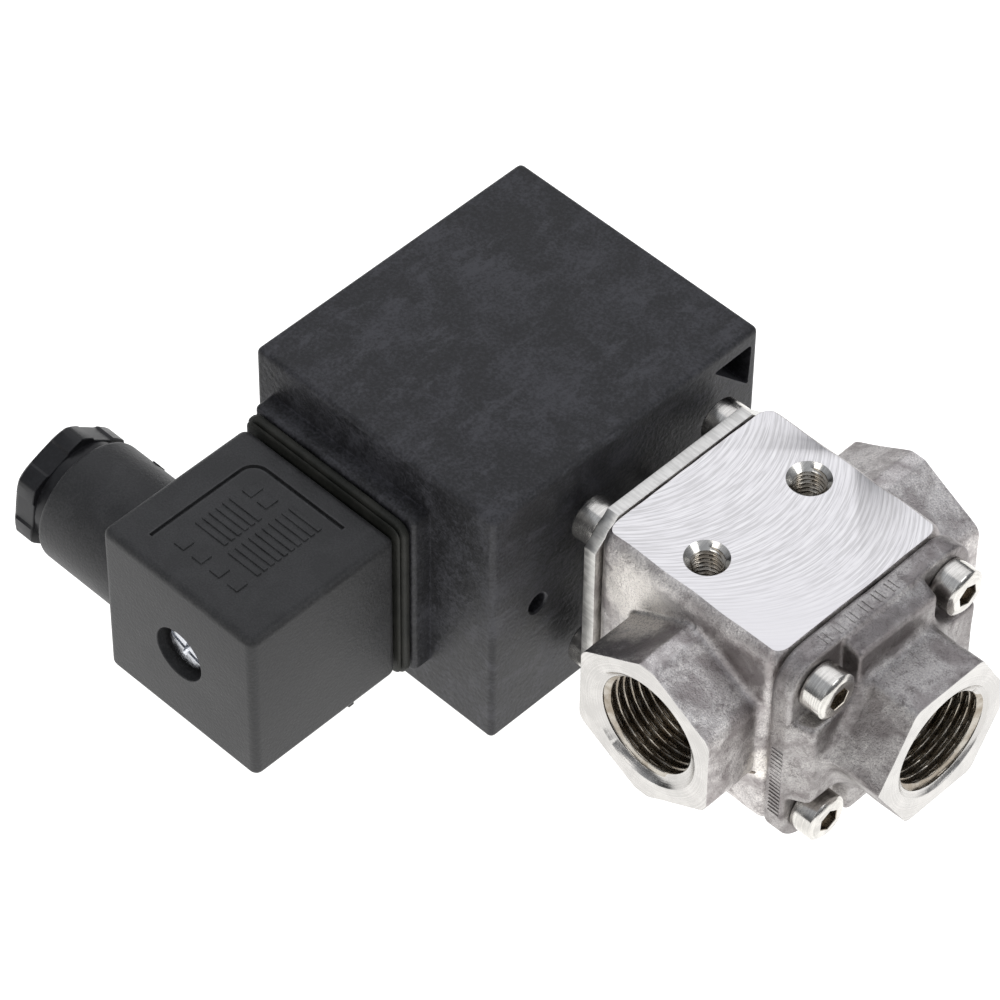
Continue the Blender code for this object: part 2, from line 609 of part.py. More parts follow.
def make_valve_body(finish):
    back, front = BODY_X
    section = chamfered(BODY_HALF_WIDTH, BODY_HALF_HEIGHT, *BODY_CHAMFER)
    body = prism("valve_body", section, back, front, finish["cast_aluminium"])
    bosses = prism("port_bosses", hexagon(PORT_FLATS, 6, pi / 2), -PORT_FACE_Y, PORT_FACE_Y, None,
                   axis="Y", at=(PORT_X, 0, 0))
    fuse(body, bosses)
    counterbore = TUBE_FLANGE_RADIUS + GAP
    ring_groove = (TUBE_RING_RADIUS - 1.25, TUBE_RING_RADIUS + 1.25)
    groove_x = (TUBE_FLANGE_X[1] + GAP, TUBE_FLANGE_X[1] + 2.2)
    web_back = INNER_SEAT_X - 4.0
    seat_foot = INNER_SEAT_X - 0.8
    chambers = [(back - 1, 0), (back - 1, counterbore), (groove_x[0], counterbore),
                (groove_x[0], ring_groove[1]), (groove_x[1], ring_groove[1]), (groove_x[1], ring_groove[0]),
                (groove_x[0], ring_groove[0]), (groove_x[0], REAR_CHAMBER_RADIUS),
                (web_back, REAR_CHAMBER_RADIUS), (web_back, SEAT_RADIUS),
                (INNER_SEAT_X, SEAT_RADIUS), (INNER_SEAT_X, SEAT_RADIUS + 1.0),
                (seat_foot, SEAT_RADIUS + 1.6), (seat_foot, CHAMBER_RADIUS),
                (front + 1, CHAMBER_RADIUS), (front + 1, 0)]
    cut(body, turned("body_chambers", chambers, None))
    cut(body, port_cutter("port_right", PORT_FACE_Y, PORT_FLOOR_Y, axis="Y", at=(PORT_X, 0, 0)))
    cut(body, port_cutter("port_left", PORT_FACE_Y, PORT_FLOOR_Y, axis="Y", at=(PORT_X, 0, 0), flip=True))
    passage = circle(BODY_PASSAGE_RADIUS, SMALL_ROUND)
    cut(body, prism("passage_left", passage, -PORT_FLOOR_Y - 1, 2 - CHAMBER_RADIUS, None, axis="Y",
                    at=(LEFT_PASSAGE_X, 0, 0)))
    cut(body, prism("passage_right", passage, REAR_CHAMBER_RADIUS - 1.5, PORT_FLOOR_Y + 1, None, axis="Y",
                    at=(RIGHT_PASSAGE_X, 0, 0)))
    cut(body, *screw_holes("rear_thread", back - 1, 17.0))
    cut(body, *screw_holes("front_thread", 27.0, front + 1))
    top = BODY_HALF_HEIGHT
    mouth = MOUNT_HOLE_RADIUS + MOUNT_HOLE_CHAMFER
    mount_thread = [(MOUNT_HOLE_FLOOR_Z, 0), (MOUNT_HOLE_FLOOR_Z, MOUNT_HOLE_RADIUS),
                    (top - MOUNT_HOLE_CHAMFER, MOUNT_HOLE_RADIUS), (top + 1, mouth + 1), (top + 1, 0)]
    for side in (-1, 1):
        cut(body, turned(f"mount_thread_{side}", mount_thread, None, steps=SMALL_ROUND, axis="Z",
                         at=(MOUNT_HOLE_X, MOUNT_HOLE_Y * side, 0)))
    turned("tube_oring", ring_profile(groove_x[0] + 0.85, TUBE_RING_RADIUS, 0.8), finish["black_rubber"],
           steps=INNER_ROUND)


def ring_profile(x, radius, wire, sides=6):
    """Round section of an O-ring."""
    return [(x + wire * cos(a), radius + wire * sin(a)) for a in (tau * i / sides for i in range(sides))]


def make_end_cover(finish):
    flange_back, flange_front = COVER_FLANGE_X
    cover = prism("end_cover", rectangle(COVER_HALF, COVER_HALF, COVER_CORNER), flange_back, flange_front,
                  finish["cast_aluminium"])
    a = CROSS_REACH
    b = CROSS_ARM
    cross = [(a, b), (b, b), (b, a), (-b, a), (-b, b), (-a, b), (-a, -b), (-b, -b), (-b, -a), (b, -a),
             (b, -b), (a, -b)]
    fuse(cover, prism("cover_cross", cross, flange_back + 1, CROSS_X, None))
    fuse(cover, prism("cover_boss", hexagon(COVER_PORT_FLATS, 6), CROSS_X - 2, COVER_PORT_X, None))
    spigot = CHAMBER_RADIUS - GAP
    groove = spigot - 1.6
    groove_back = COVER_SEAT_X + 1.9
    groove_front = groove_back + 2.0
    seat_foot = COVER_SEAT_X + 0.8
    fuse(cover, turned("cover_spigot", [(COVER_SEAT_X, 0), (COVER_SEAT_X, SEAT_RADIUS + 0.6),
                                        (seat_foot, SEAT_RADIUS + 1.2), (seat_foot, spigot),
                                        (groove_back, spigot), (groove_back, groove),
                                        (groove_front, groove), (groove_front, spigot),
                                        (flange_back + 1, spigot), (flange_back + 1, 0)], None))
    cut(cover, port_cutter("cover_port", COVER_PORT_X, COVER_PORT_FLOOR_X))
    cut(cover, prism("cover_passage", circle(COVER_PASSAGE_RADIUS, INNER_ROUND), COVER_SEAT_X - 1,
                     COVER_PORT_FLOOR_X + 1, None))
    cut(cover, *screw_holes("cover_hole", flange_back - 1, flange_front + 1))
    ring_x = (groove_back + groove_front) / 2
    turned("cover_oring", ring_profile(ring_x, groove + 0.9, 0.6), finish["black_rubber"],
           steps=INNER_ROUND)


# ---------------------------------------------------------------- assembly

def make_materials():
    return {
        "coil_black": make_material("coil_black", (0.030, 0.031, 0.034), 0.62),
        "connector_black": make_material("connector_black", (0.026, 0.027, 0.030), 0.55),
        "gland_black": make_material("gland_black", (0.018, 0.018, 0.020), 0.40),
        "black_rubber": make_material("black_rubber", (0.020, 0.021, 0.018), 0.80),
        "bobbin_plastic": make_material("bobbin_plastic", (0.55, 0.53, 0.48), 0.50),
        "cast_aluminium": make_material("cast_aluminium", (0.52, 0.50, 0.49), 0.45, 1.0),
        "machined_steel": make_material("machined_steel", (0.60, 0.60, 0.58), 0.35, 1.0),
        "magnet_steel": make_material("magnet_steel", (0.42, 0.42, 0.43), 0.35, 1.0),
        "stainless": make_material("stainless", (0.66, 0.64, 0.60), 0.20, 1.0),
        "zinc_steel": make_material("zinc_steel", (0.62, 0.64, 0.66), 0.28, 1.0),
        "brass": make_material("brass", (0.72, 0.55, 0.26), 0.30, 1.0),
        "copper": make_material("copper", (0.72, 0.33, 0.18), 0.35, 1.0),
    }


def make_valve_axis():
    """The empty that every piece hangs on; it puts the bounding box's lower middle at the origin."""
    middle_x = (GLAND_NUT_X[0] + COVER_PORT_X) / 2
    middle_y = (CONNECTOR_Y[0] + PORT_FACE_Y) / 2
    axis = bpy.data.objects.new("valve_axis", None)
    axis.location = (-middle_x * MM, -middle_y * MM, COIL_HALF_HEIGHT * MM)
    bpy.context.scene.collection.objects.link(axis)


def main():
    clear_scene()
    finish = make_materials()
    make_valve_axis()
    make_coil(finish)
    make_coil_fixing(finish)
    make_connector(finish)
    make_gland(finish)
    make_armature_tube(finish)
    make_moving_parts(finish)
    make_flange_plate(finish)
    make_valve_body(finish)
    make_end_cover(finish)
    make_screws(finish)
    bpy.context.view_layer.update()


main()
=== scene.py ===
"""Looks of a solenoid valve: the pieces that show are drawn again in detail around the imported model.

Lengths are in millimetres from the valve axis until a piece is placed: x = 0 is the face of the coil that
looks at the valve, +X points along the plunger to the end cover, and Z is up. The connector is on the -Y
side. A finish is given by its name in FINISH.
"""

import json
from math import cos, pi, radians, sin, tan, tau

import bmesh
import bpy
import numpy as np
from mathutils import Matrix, Vector


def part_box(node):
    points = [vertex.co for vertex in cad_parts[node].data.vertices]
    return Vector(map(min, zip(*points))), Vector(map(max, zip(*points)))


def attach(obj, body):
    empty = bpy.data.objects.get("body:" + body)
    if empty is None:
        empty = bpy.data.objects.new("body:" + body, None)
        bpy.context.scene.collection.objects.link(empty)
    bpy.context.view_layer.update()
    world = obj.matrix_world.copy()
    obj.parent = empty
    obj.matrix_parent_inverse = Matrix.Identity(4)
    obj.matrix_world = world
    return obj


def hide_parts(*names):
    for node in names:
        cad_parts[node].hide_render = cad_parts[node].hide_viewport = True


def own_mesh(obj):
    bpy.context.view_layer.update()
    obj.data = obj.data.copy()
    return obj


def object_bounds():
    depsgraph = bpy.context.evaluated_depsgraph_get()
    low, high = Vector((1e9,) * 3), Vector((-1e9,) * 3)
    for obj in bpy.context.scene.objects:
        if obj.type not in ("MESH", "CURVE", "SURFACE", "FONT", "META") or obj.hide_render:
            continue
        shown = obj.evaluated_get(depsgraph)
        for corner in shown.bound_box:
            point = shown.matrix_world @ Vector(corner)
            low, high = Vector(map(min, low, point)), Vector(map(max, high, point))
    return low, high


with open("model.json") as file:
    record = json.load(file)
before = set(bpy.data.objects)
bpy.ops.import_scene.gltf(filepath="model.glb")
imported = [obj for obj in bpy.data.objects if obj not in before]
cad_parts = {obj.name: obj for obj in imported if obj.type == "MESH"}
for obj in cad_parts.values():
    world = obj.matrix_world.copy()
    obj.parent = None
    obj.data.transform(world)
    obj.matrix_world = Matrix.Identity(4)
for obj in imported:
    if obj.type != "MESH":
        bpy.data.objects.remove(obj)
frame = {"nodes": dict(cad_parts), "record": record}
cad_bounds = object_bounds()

MM = 0.001
BODY = "valve"                 # the body that stands still

tube_low, tube_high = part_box("armature_tube")
coil_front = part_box("coil_housing")[1].x
ORIGIN = Vector((coil_front, (tube_low.y + tube_high.y) / 2, (tube_low.z + tube_high.z) / 2))


class Box:
    """Limits of a CAD node in millimetres from the valve axis: x, y and z are (low, high) pairs."""

    def __init__(self, node):
        low, high = [(corner - ORIGIN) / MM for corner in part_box(node)]
        self.x = (low.x, high.x)
        self.y = (low.y, high.y)
        self.z = (low.z, high.z)

    def middle(self, axis):
        low, high = getattr(self, axis)
        return (low + high) / 2

    def half(self, axis):
        low, high = getattr(self, axis)
        return (high - low) / 2


COIL = Box("coil_housing")
CONNECTOR = Box("connector_housing")
GASKET = Box("connector_gasket")
HEAD = Box("connector_screw")
GLAND = Box("gland_nut")
TUBE = Box("armature_tube")
PLATE = Box("tube_flange_plate")
VALVE = Box("valve_body")
COVER = Box("end_cover")
FLANGE_SCREW = Box("flange_screw_1")
COVER_SCREW = Box("cover_screw_1")
NUT = Box("coil_nut")
WASHER = Box("coil_washer")
CORE = Box("fixed_core")
SPRING = Box("return_spring")

GAP = 0.3                      # clearance between neighbouring pieces
SCREW_OFFSET = COVER_SCREW.middle("y")
SIDE_FLATS = 23.0              # hexagon bosses of the ports, across flats
COVER_FLATS = 22.3
PORT_MINOR = 7.475             # G3/8 pipe thread
PORT_MAJOR = 8.33
PORT_PITCH = 1.337
PORT_STEPS = 144               # points round a port
SIDE_MOUTH = 9.2               # radius of the ports' chamfered mouths
COVER_MOUTH = 8.9
PORT_X = 25.5
PORT_FACE_Y = VALVE.y[1]
PORT_FLOOR_Y = 14.0
COVER_PORT_FLOOR_X = 42.2
BODY_WALL_Y = 16.8             # cast side walls of the body
COVER_BACK = VALVE.x[1] + GAP
COVER_FACE = COVER_BACK + 3.5          # front of the cover's flange
CROSS_FACE = COVER_FACE + 3.0          # front of its cross-shaped raised part
TUBE_CLEAR = 7.3
MOUNT_X = 20.5                 # the two M5 holes in the top
MOUNT_Y = 9.9
EJECTOR_MARKS = ((36.2, -6.5), (13.0, -6.5))     # X and Z of shallow round marks on the -Y wall
CASTING_GRID = 0.34            # spacing of the grid that the castings are meshed on
ROOF_STOCK = 0.8               # metal that milling takes off the top and bottom
FACE_STOCK = 1.0               # metal that turning takes off the ports' faces
LONG_EDGE_RADIUS = 3.6         # of the cast block
END_EDGE_RADIUS = 1.7
BOSS_HALF_HEIGHT = 12.6
FRONT_FILLET = 1.3             # at the foot of the side bosses
BACK_FILLET = 0.7
FLANGE_CORNER = 5.0            # corners of the cover's flange
CROSS_ARM = 7.5                # half width of the cross's arms, their reach and their rounding
CROSS_REACH = 15.8
CROSS_EDGE = 0.9
CROSS_FILLET = 4.4


# ---- solids

def axis_turn(axis):
    """Rotation that lays the X axis along the named axis."""
    if axis == "Y":
        return Matrix.Rotation(pi / 2, 4, "Z")
    if axis == "Z":
        return Matrix.Rotation(-pi / 2, 4, "Y")
    return Matrix.Identity(4)


def add_object(name, data):
    obj = bpy.data.objects.new(name, data)
    bpy.context.scene.collection.objects.link(obj)
    return obj


def place(name, bm, finish, axis="X", at=(0, 0, 0), flip=False, spin=0.0):
    """Makes an object from a bmesh drawn along X in millimetres, with its place in its vertices."""
    turn = axis_turn(axis)
    if flip:
        turn = turn @ Matrix.Rotation(pi, 4, "Z")
    if spin:
        turn = turn @ Matrix.Rotation(spin, 4, "X")
    bm.transform(Matrix.Translation(ORIGIN) @ Matrix.Scale(MM, 4) @ Matrix.Translation(at) @ turn)
    bmesh.ops.recalc_face_normals(bm, faces=bm.faces)
    mesh = bpy.data.meshes.new(name)
    bm.to_mesh(mesh)
    bm.free()
    mesh.materials.append(FINISH[finish])
    return add_object(name, mesh)


def circle(radius, count=96, start=0.0):
    """(y, z) points of a circle."""
    angles = [start + tau * i / count for i in range(count)]
    return [(radius * cos(a), radius * sin(a)) for a in angles]


def hexagon(across_flats, count=96, start=0.0, corner_radius=None, recess=0.0, recess_share=0.5):
    """Points on a hexagon with a corner at angle start. corner_radius rounds its corners off at that
    distance from the axis, and recess sinks the middle share of each side."""
    points = []
    blend = 24
    for i in range(count):
        angle = tau * i / count
        from_flat = angle % (pi / 3) - pi / 6
        radius = across_flats / 2 / cos(from_flat)
        if corner_radius:
            radius = (radius ** -blend + corner_radius ** -blend) ** (-1 / blend)
        side = across_flats / 2 * tan(pi / 6)
        if recess and abs(across_flats / 2 * tan(from_flat)) < recess_share * side:
            radius -= recess
        points.append((radius * cos(angle + start), radius * sin(angle + start)))
    return points


def rectangle(half_y, half_z, corner=0.0):
    """Points of a rectangle about the axis, its corners rounded when corner is given."""
    if not corner:
        return [(half_y, half_z), (-half_y, half_z), (-half_y, -half_z), (half_y, -half_z)]
    points = []
    steps = 8
    for quarter, (sy, sz) in enumerate(((1, 1), (-1, 1), (-1, -1), (1, -1))):
        for i in range(steps + 1):
            angle = pi / 2 * (quarter + i / steps)
            points.append((sy * (half_y - corner) + corner * cos(angle),
                           sz * (half_z - corner) + corner * sin(angle)))
    return points


def soften(profile, radius, steps=4):
    """Rounds the inner corners of an open (x, radius) profile with short curves."""
    points = [Vector(point) for point in profile]
    result = [points[0]]
    for before, corner, after in zip(points, points[1:], points[2:]):
        back = before - corner
        ahead = after - corner
        reach = min(radius, back.length * 0.45, ahead.length * 0.45)
        start = corner + back.normalized() * reach
        end = corner + ahead.normalized() * reach
        for i in range(steps + 1):
            t = i / steps
            result.append(start * (1 - t) ** 2 + corner * (2 * t * (1 - t)) + end * t ** 2)
    result.append(points[-1])
    return [tuple(point) for point in result]


def skinned(name, outlines, finish, ring=False, **where):
    """Joins outlines of as many points each. A ring closes on itself; otherwise its ends are capped."""
    bm = bmesh.new()
    loops = [[bm.verts.new(point) for point in outline] for outline in outlines]
    pairs = list(zip(loops, loops[1:]))
    if ring:
        pairs.append((loops[-1], loops[0]))
    for first, second in pairs:
        for i in range(len(first)):
            j = (i + 1) % len(first)
            bm.faces.new((first[i], first[j], second[j], second[i]))
    if not ring:
        for loop in (loops[0], loops[-1]):
            bm.faces.new(loop)
    return place(name, bm, finish, **where)


def lofted(name, sections, finish, **where):
    """Joins flat outlines of (y, z) points, given as (x, points)."""
    return skinned(name, [[(x, y, z) for y, z in points] for x, points in sections], finish, **where)


def turned(name, profile, finish, steps=96, **where):
    """Turns a profile of (x, radius) points about X. It is a ring unless it starts and ends on the axis."""
    on_axis = profile[0][1] == 0
    points = profile[1:-1] if on_axis else profile
    sections = [(x, circle(radius, steps)) for x, radius in points]
    return lofted(name, sections, finish, ring=not on_axis, **where)


def prism(name, outline, low, high, finish, **where):
    """Extrudes an outline of (y, z) points along X."""
    return lofted(name, [(low, outline), (high, outline)], finish, **where)


def block(name, x, y, z, finish):
    """A box between the given limits."""
    outline = rectangle((y[1] - y[0]) / 2, (z[1] - z[0]) / 2)
    return prism(name, outline, x[0], x[1], finish, at=(0, (y[0] + y[1]) / 2, (z[0] + z[1]) / 2))


def wider(limits, margin):
    """Limits moved outwards by the margin."""
    return limits[0] - margin, limits[1] + margin


def threaded(start, end, minor, major, pitch, count, rows_per_turn=12, fade=1.0):
    """Sections of a screw thread along X, with rounded crests and roots, that fades out towards its start
    over a number of pitches."""
    rows = max(2, int(abs(end - start) / pitch * rows_per_turn))
    sections = []
    for row in range(rows + 1):
        x = start + (end - start) * row / rows
        strength = min(1.0, abs(x - start) / (fade * pitch))
        points = []
        for i in range(count):
            phase = (x / pitch - i / count) % 1.0
            flank = 1 - abs(2 * phase - 1)
            height = 0.5 - 0.5 * cos(pi * min(1.0, max(0.0, 1.3 * flank - 0.15)))
            radius = minor + (major - minor) * height * strength
            points.append((radius * cos(tau * i / count), radius * sin(tau * i / count)))
        sections.append((x, points))
    return sections


def apply_modifiers(obj):
    """Replaces the mesh with what its modifiers make of it."""
    graph = bpy.context.evaluated_depsgraph_get()
    mesh = bpy.data.meshes.new_from_object(obj.evaluated_get(graph))
    obj.modifiers.clear()
    old = obj.data
    obj.data = mesh
    bpy.data.meshes.remove(old)


def bevel(obj, width, segments=4, angle=30):
    """Rounds edges sharper than an angle in degrees."""
    modifier = obj.modifiers.new("bevel", "BEVEL")
    modifier.width = width * MM
    modifier.segments = segments
    modifier.limit_method = "ANGLE"
    modifier.angle_limit = radians(angle)
    apply_modifiers(obj)


def combine(obj, others, operation):
    for other in others:
        modifier = obj.modifiers.new("combine", "BOOLEAN")
        modifier.operation = operation
        modifier.solver = "MANIFOLD"
        modifier.material_mode = "TRANSFER"
        modifier.object = other
        apply_modifiers(obj)
        bpy.data.objects.remove(other, do_unlink=True)


def cut(obj, *cutters):
    combine(obj, cutters, "DIFFERENCE")


def fuse(obj, *others):
    combine(obj, others, "UNION")


def finish_piece(obj, node, angle=38):
    """Shades a piece, hangs it on its body and hides the CAD node that it is drawn in place of."""
    obj.data.shade_smooth()
    obj.data.set_sharp_from_angle(angle=radians(angle))
    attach(obj, BODY)
    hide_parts(node)


# ---- castings

def round_union(a, b, radius):
    """Distance to two shapes together, with a fillet where they meet."""
    corner = np.hypot(np.maximum(radius - a, 0), np.maximum(radius - b, 0))
    return np.maximum(radius, np.minimum(a, b)) - corner


def round_cut(a, b, radius):
    """Distance to what two shapes share, with the edge between them rounded."""
    corner = np.hypot(np.maximum(radius + a, 0), np.maximum(radius + b, 0))
    return np.minimum(-radius, np.maximum(a, b)) + corner


def hexagon_field(u, v, across_flats, corner_at_v, radius):
    """Distance to a hexagon in the (u, v) plane, with corners on the v axis or on the u axis."""
    first, second = (u, v) if corner_at_v else (v, u)
    steep = np.abs(second) * sin(pi / 3)
    sides = np.abs(first) * cos(pi / 3) + steep
    return round_cut(np.abs(first) - across_flats / 2, sides - across_flats / 2, radius)


def unevenness(x, y, z):
    """Slow wander of a cast surface, in millimetres."""
    wave = np.sin(0.55 * x + 1.3 * np.sin(0.31 * y + 0.7)) * np.sin(0.47 * z + 0.9 * np.sin(0.36 * x + 2.1))
    ripple = np.sin(1.3 * y + 0.8 * np.sin(0.9 * z)) * np.sin(1.1 * z + 0.7 * x + 1.7)
    return 0.05 * wave + 0.02 * ripple


def body_field(x, y, z):
    """The cast valve body before machining: a block with rounded long edges and a hexagon boss on each side,
    whose upper and lower corners are cut flat."""
    side = np.abs(y)
    wall = side - BODY_WALL_Y
    ends = np.abs(x - VALVE.middle("x")) - VALVE.half("x")
    roof = np.abs(z) - VALVE.z[1] - ROOF_STOCK
    blank = round_cut(round_cut(wall, roof, LONG_EDGE_RADIUS), ends, END_EDGE_RADIUS)

    u = x - PORT_X
    boss = hexagon_field(u, z, SIDE_FLATS, True, 1.0)
    boss = round_cut(boss, np.abs(z) - BOSS_HALF_HEIGHT, 0.12)
    boss = round_cut(boss, side - PORT_FACE_Y - FACE_STOCK, 0.5)
    fillet = np.where(u > 0, FRONT_FILLET, BACK_FILLET)
    return round_union(blank, boss, fillet) + unevenness(x, y, z)


def cover_field(x, y, z):
    """The cast end cover before machining: flange, cross-shaped raised part and hexagon boss."""
    half = COVER.y[1]
    outline = round_cut(np.abs(y) - half, np.abs(z) - half, FLANGE_CORNER)
    flange = round_cut(outline, x - COVER_FACE, 0.45)
    flange = round_cut(flange, COVER_BACK - x, 0.8)

    down = (CROSS_FACE - x) / (CROSS_FACE - COVER_FACE)
    arm = CROSS_ARM + 0.3 * down
    reach = CROSS_REACH + 1.3 * np.minimum(down, 1.0)
    across = round_cut(np.abs(y) - reach, np.abs(z) - arm, CROSS_EDGE)
    along = round_cut(np.abs(z) - reach, np.abs(y) - arm, CROSS_EDGE)
    cross = round_union(across, along, CROSS_FILLET)
    cross = round_cut(cross, x - CROSS_FACE, 0.6)
    cross = round_cut(cross, COVER_FACE - 1.5 - x, 0.2)

    boss = hexagon_field(y, z, COVER_FLATS, False, 0.8)
    boss = round_cut(boss, x - COVER.x[1] - FACE_STOCK, 0.5)
    boss = round_cut(boss, COVER_FACE - x, 0.2)
    raised = round_union(cross, boss, 1.8)
    return round_union(flange, raised, 0.5) + unevenness(x + 40, y, z)


def mesh_field(name, field, low, high, finish):
    """Meshes the surface where a distance field is zero: one vertex in each grid cell that it crosses."""
    axes = [np.arange(a, b + CASTING_GRID, CASTING_GRID) for a, b in zip(low, high)]
    inside = field(*np.meshgrid(*axes, indexing="ij")) < 0
    rows, columns, layers = (size - 1 for size in inside.shape)
    count = sum(inside[i:i + rows, j:j + columns, k:k + layers].astype(int)
                for i in (0, 1) for j in (0, 1) for k in (0, 1))
    crossed = (count > 0) & (count < 8)
    index = np.full(crossed.shape, -1)
    cells = np.argwhere(crossed)
    index[crossed] = np.arange(len(cells))
    points = np.array(low) + (cells + 0.5) * CASTING_GRID
    settle(points, field)

    quads = []
    for axis in range(3):
        ahead = np.moveaxis(inside, axis, 0)
        table = np.moveaxis(index, axis, 0)
        i, j, k = np.nonzero(ahead[1:, 1:-1, 1:-1] != ahead[:-1, 1:-1, 1:-1])
        around = [table[i, j, k], table[i, j + 1, k], table[i, j + 1, k + 1], table[i, j, k + 1]]
        quads.append(np.stack(around, axis=1))
    mesh = bpy.data.meshes.new(name)
    world = points * MM + np.array(ORIGIN)
    mesh.from_pydata(world, [], np.concatenate(quads).tolist())
    mesh.materials.append(FINISH[finish])
    bm = bmesh.new()
    bm.from_mesh(mesh)
    bmesh.ops.recalc_face_normals(bm, faces=bm.faces)
    bm.to_mesh(mesh)
    bm.free()
    return add_object(name, mesh)


def settle(points, field):
    """Moves points along the field's gradient onto its zero surface."""
    step = 0.02
    reach = 0.8 * CASTING_GRID
    least_slope = 0.2
    start = points.copy()
    for _ in range(4):
        value = field(*points.T)
        gradient = np.empty_like(points)
        for axis in range(3):
            shift = np.zeros(3)
            shift[axis] = step
            gradient[:, axis] = (field(*(points + shift).T) - field(*(points - shift).T)) / (2 * step)
        steep = np.maximum((gradient ** 2).sum(axis=1), least_slope)
        points -= gradient * (value / steep)[:, None]
        np.clip(points, start - reach, start + reach, out=points)


# ---- materials

class Surface:
    """A Principled material, with short ways to add the nodes that give it its grain. Positions are in
    millimetres from the valve axis."""

    def __init__(self, name, metallic=0.0):
        self.material = bpy.data.materials.new(name)
        self.material.use_nodes = True
        self.tree = self.material.node_tree
        self.shader = self.tree.nodes["Principled BSDF"]
        self.shader.inputs["Metallic"].default_value = metallic
        coordinates = self.tree.nodes.new("ShaderNodeTexCoord")
        mapping = self.tree.nodes.new("ShaderNodeMapping")
        mapping.inputs["Scale"].default_value = (1 / MM, 1 / MM, 1 / MM)
        mapping.inputs["Location"].default_value = -ORIGIN / MM
        self.tree.links.new(coordinates.outputs["Object"], mapping.inputs["Vector"])
        self.place = mapping.outputs["Vector"]
        split = self.add("ShaderNodeSeparateXYZ", Vector=self.place)
        self.x, self.y, self.z = split.outputs

    def set(self, socket, value):
        if isinstance(value, bpy.types.NodeSocket):
            self.tree.links.new(value, socket)
        elif isinstance(value, tuple) and socket.type == "RGBA":
            socket.default_value = (*value, 1.0)
        else:
            socket.default_value = value

    def add(self, kind, settings=None, **inputs):
        node = self.tree.nodes.new(kind)
        for key, value in (settings or {}).items():
            setattr(node, key, value)
        for key, value in inputs.items():
            self.set(node.inputs[key], value)
        return node

    def math(self, operation, *values):
        node = self.tree.nodes.new("ShaderNodeMath")
        node.operation = operation
        for socket, value in zip(node.inputs, values):
            self.set(socket, value)
        return node.outputs[0]

    def times(self, first, second):
        return self.math("MULTIPLY", first, second)

    def point(self, x, y, z):
        return self.add("ShaderNodeCombineXYZ", X=x, Y=y, Z=z).outputs[0]

    def noise(self, size, detail=3.0, roughness=0.55, at=None, distortion=0.0):
        """Noise from 0 to 1 whose blobs are about size millimetres across."""
        return self.add("ShaderNodeTexNoise", Vector=at or self.place, Scale=1 / size, Detail=detail,
                        Roughness=roughness, Distortion=distortion).outputs["Fac"]

    def cells(self, size):
        return self.add("ShaderNodeTexVoronoi", {"feature": "SMOOTH_F1"}, Vector=self.place,
                        Scale=1 / size, Smoothness=0.6).outputs["Distance"]

    def band(self, value, low, high, start=0.0, end=1.0):
        """Turns low..high into start..end, smoothly and clamped."""
        node = self.add("ShaderNodeMapRange", {"interpolation_type": "SMOOTHSTEP"})
        for socket, number in zip(node.inputs, (value, low, high, start, end)):
            self.set(socket, number)
        return node.outputs[0]

    def mix(self, amount, first, second):
        node = self.add("ShaderNodeMix", {"data_type": "RGBA"})
        self.set(node.inputs["Factor"], amount)
        self.set(node.inputs[6], first)
        self.set(node.inputs[7], second)
        return node.outputs[2]

    def sum(self, *parts):
        """Adds (weight, value) pairs."""
        total = None
        for weight, value in parts:
            term = self.times(value, weight)
            total = term if total is None else self.math("ADD", total, term)
        return total

    def edges(self, radius, low=0.02, high=0.25):
        """1 on edges sharper than radius millimetres, 0 on flat faces."""
        rounded = self.add("ShaderNodeBevel", {"samples": 4}, Radius=radius * MM).outputs[0]
        normal = self.add("ShaderNodeNewGeometry").outputs["Normal"]
        dot = self.add("ShaderNodeVectorMath", {"operation": "DOT_PRODUCT"})
        self.set(dot.inputs[0], rounded)
        self.set(dot.inputs[1], normal)
        return self.band(self.math("SUBTRACT", 1.0, dot.outputs["Value"]), low, high)

    def finish(self, colour, roughness, height, depth, soft_edge=0.0):
        """Connects colour and roughness, and a bump whose height of 1 stands depth millimetres proud."""
        self.set(self.shader.inputs["Base Color"], colour)
        self.set(self.shader.inputs["Roughness"], roughness)
        bump = self.add("ShaderNodeBump", Height=height, Distance=depth * MM)
        if soft_edge:
            rounded = self.add("ShaderNodeBevel", {"samples": 4}, Radius=soft_edge * MM)
            self.set(bump.inputs["Normal"], rounded.outputs[0])
        self.set(self.shader.inputs["Normal"], bump.outputs[0])
        return self.material


def moulded(name, dark, pale, roughness, grain, depth, scuffs=0.0):
    """Moulded plastic with an eroded or leathery grain, cloudy patches, scuffs and paler edges."""
    s = Surface(name)
    s.shader.inputs["Specular IOR Level"].default_value = 0.32
    fine = s.noise(grain, 4.0, 0.65)
    pebbles = s.cells(grain * 1.9)
    cloud = s.noise(8.0, 5.0, 0.62, distortion=0.8)
    stretched = s.point(s.times(s.x, 0.35), s.times(s.y, 0.12), s.times(s.z, 0.3))
    streak = s.noise(1.0, 5.0, 0.7, at=stretched)
    tone = s.sum((0.4, s.band(cloud, 0.35, 0.7)), (0.5, s.band(fine, 0.3, 0.7)),
                 (scuffs, s.band(streak, 0.50, 0.72)))
    colour = s.mix(s.band(tone, 0.1, 0.95), dark, pale)
    worn = s.times(s.edges(0.7), s.band(s.noise(1.6, 4.0, 0.6), 0.40, 0.60, 0.3, 1.0))
    colour = s.mix(s.times(worn, 0.45), colour, tuple(min(1.0, 2.4 * c) for c in pale))
    rough = s.band(s.sum((0.6, cloud), (0.4, fine)), 0.25, 0.75, roughness - 0.08, roughness + 0.09)
    height = s.sum((0.6, fine), (0.55, pebbles))
    return s.finish(colour, rough, height, depth)


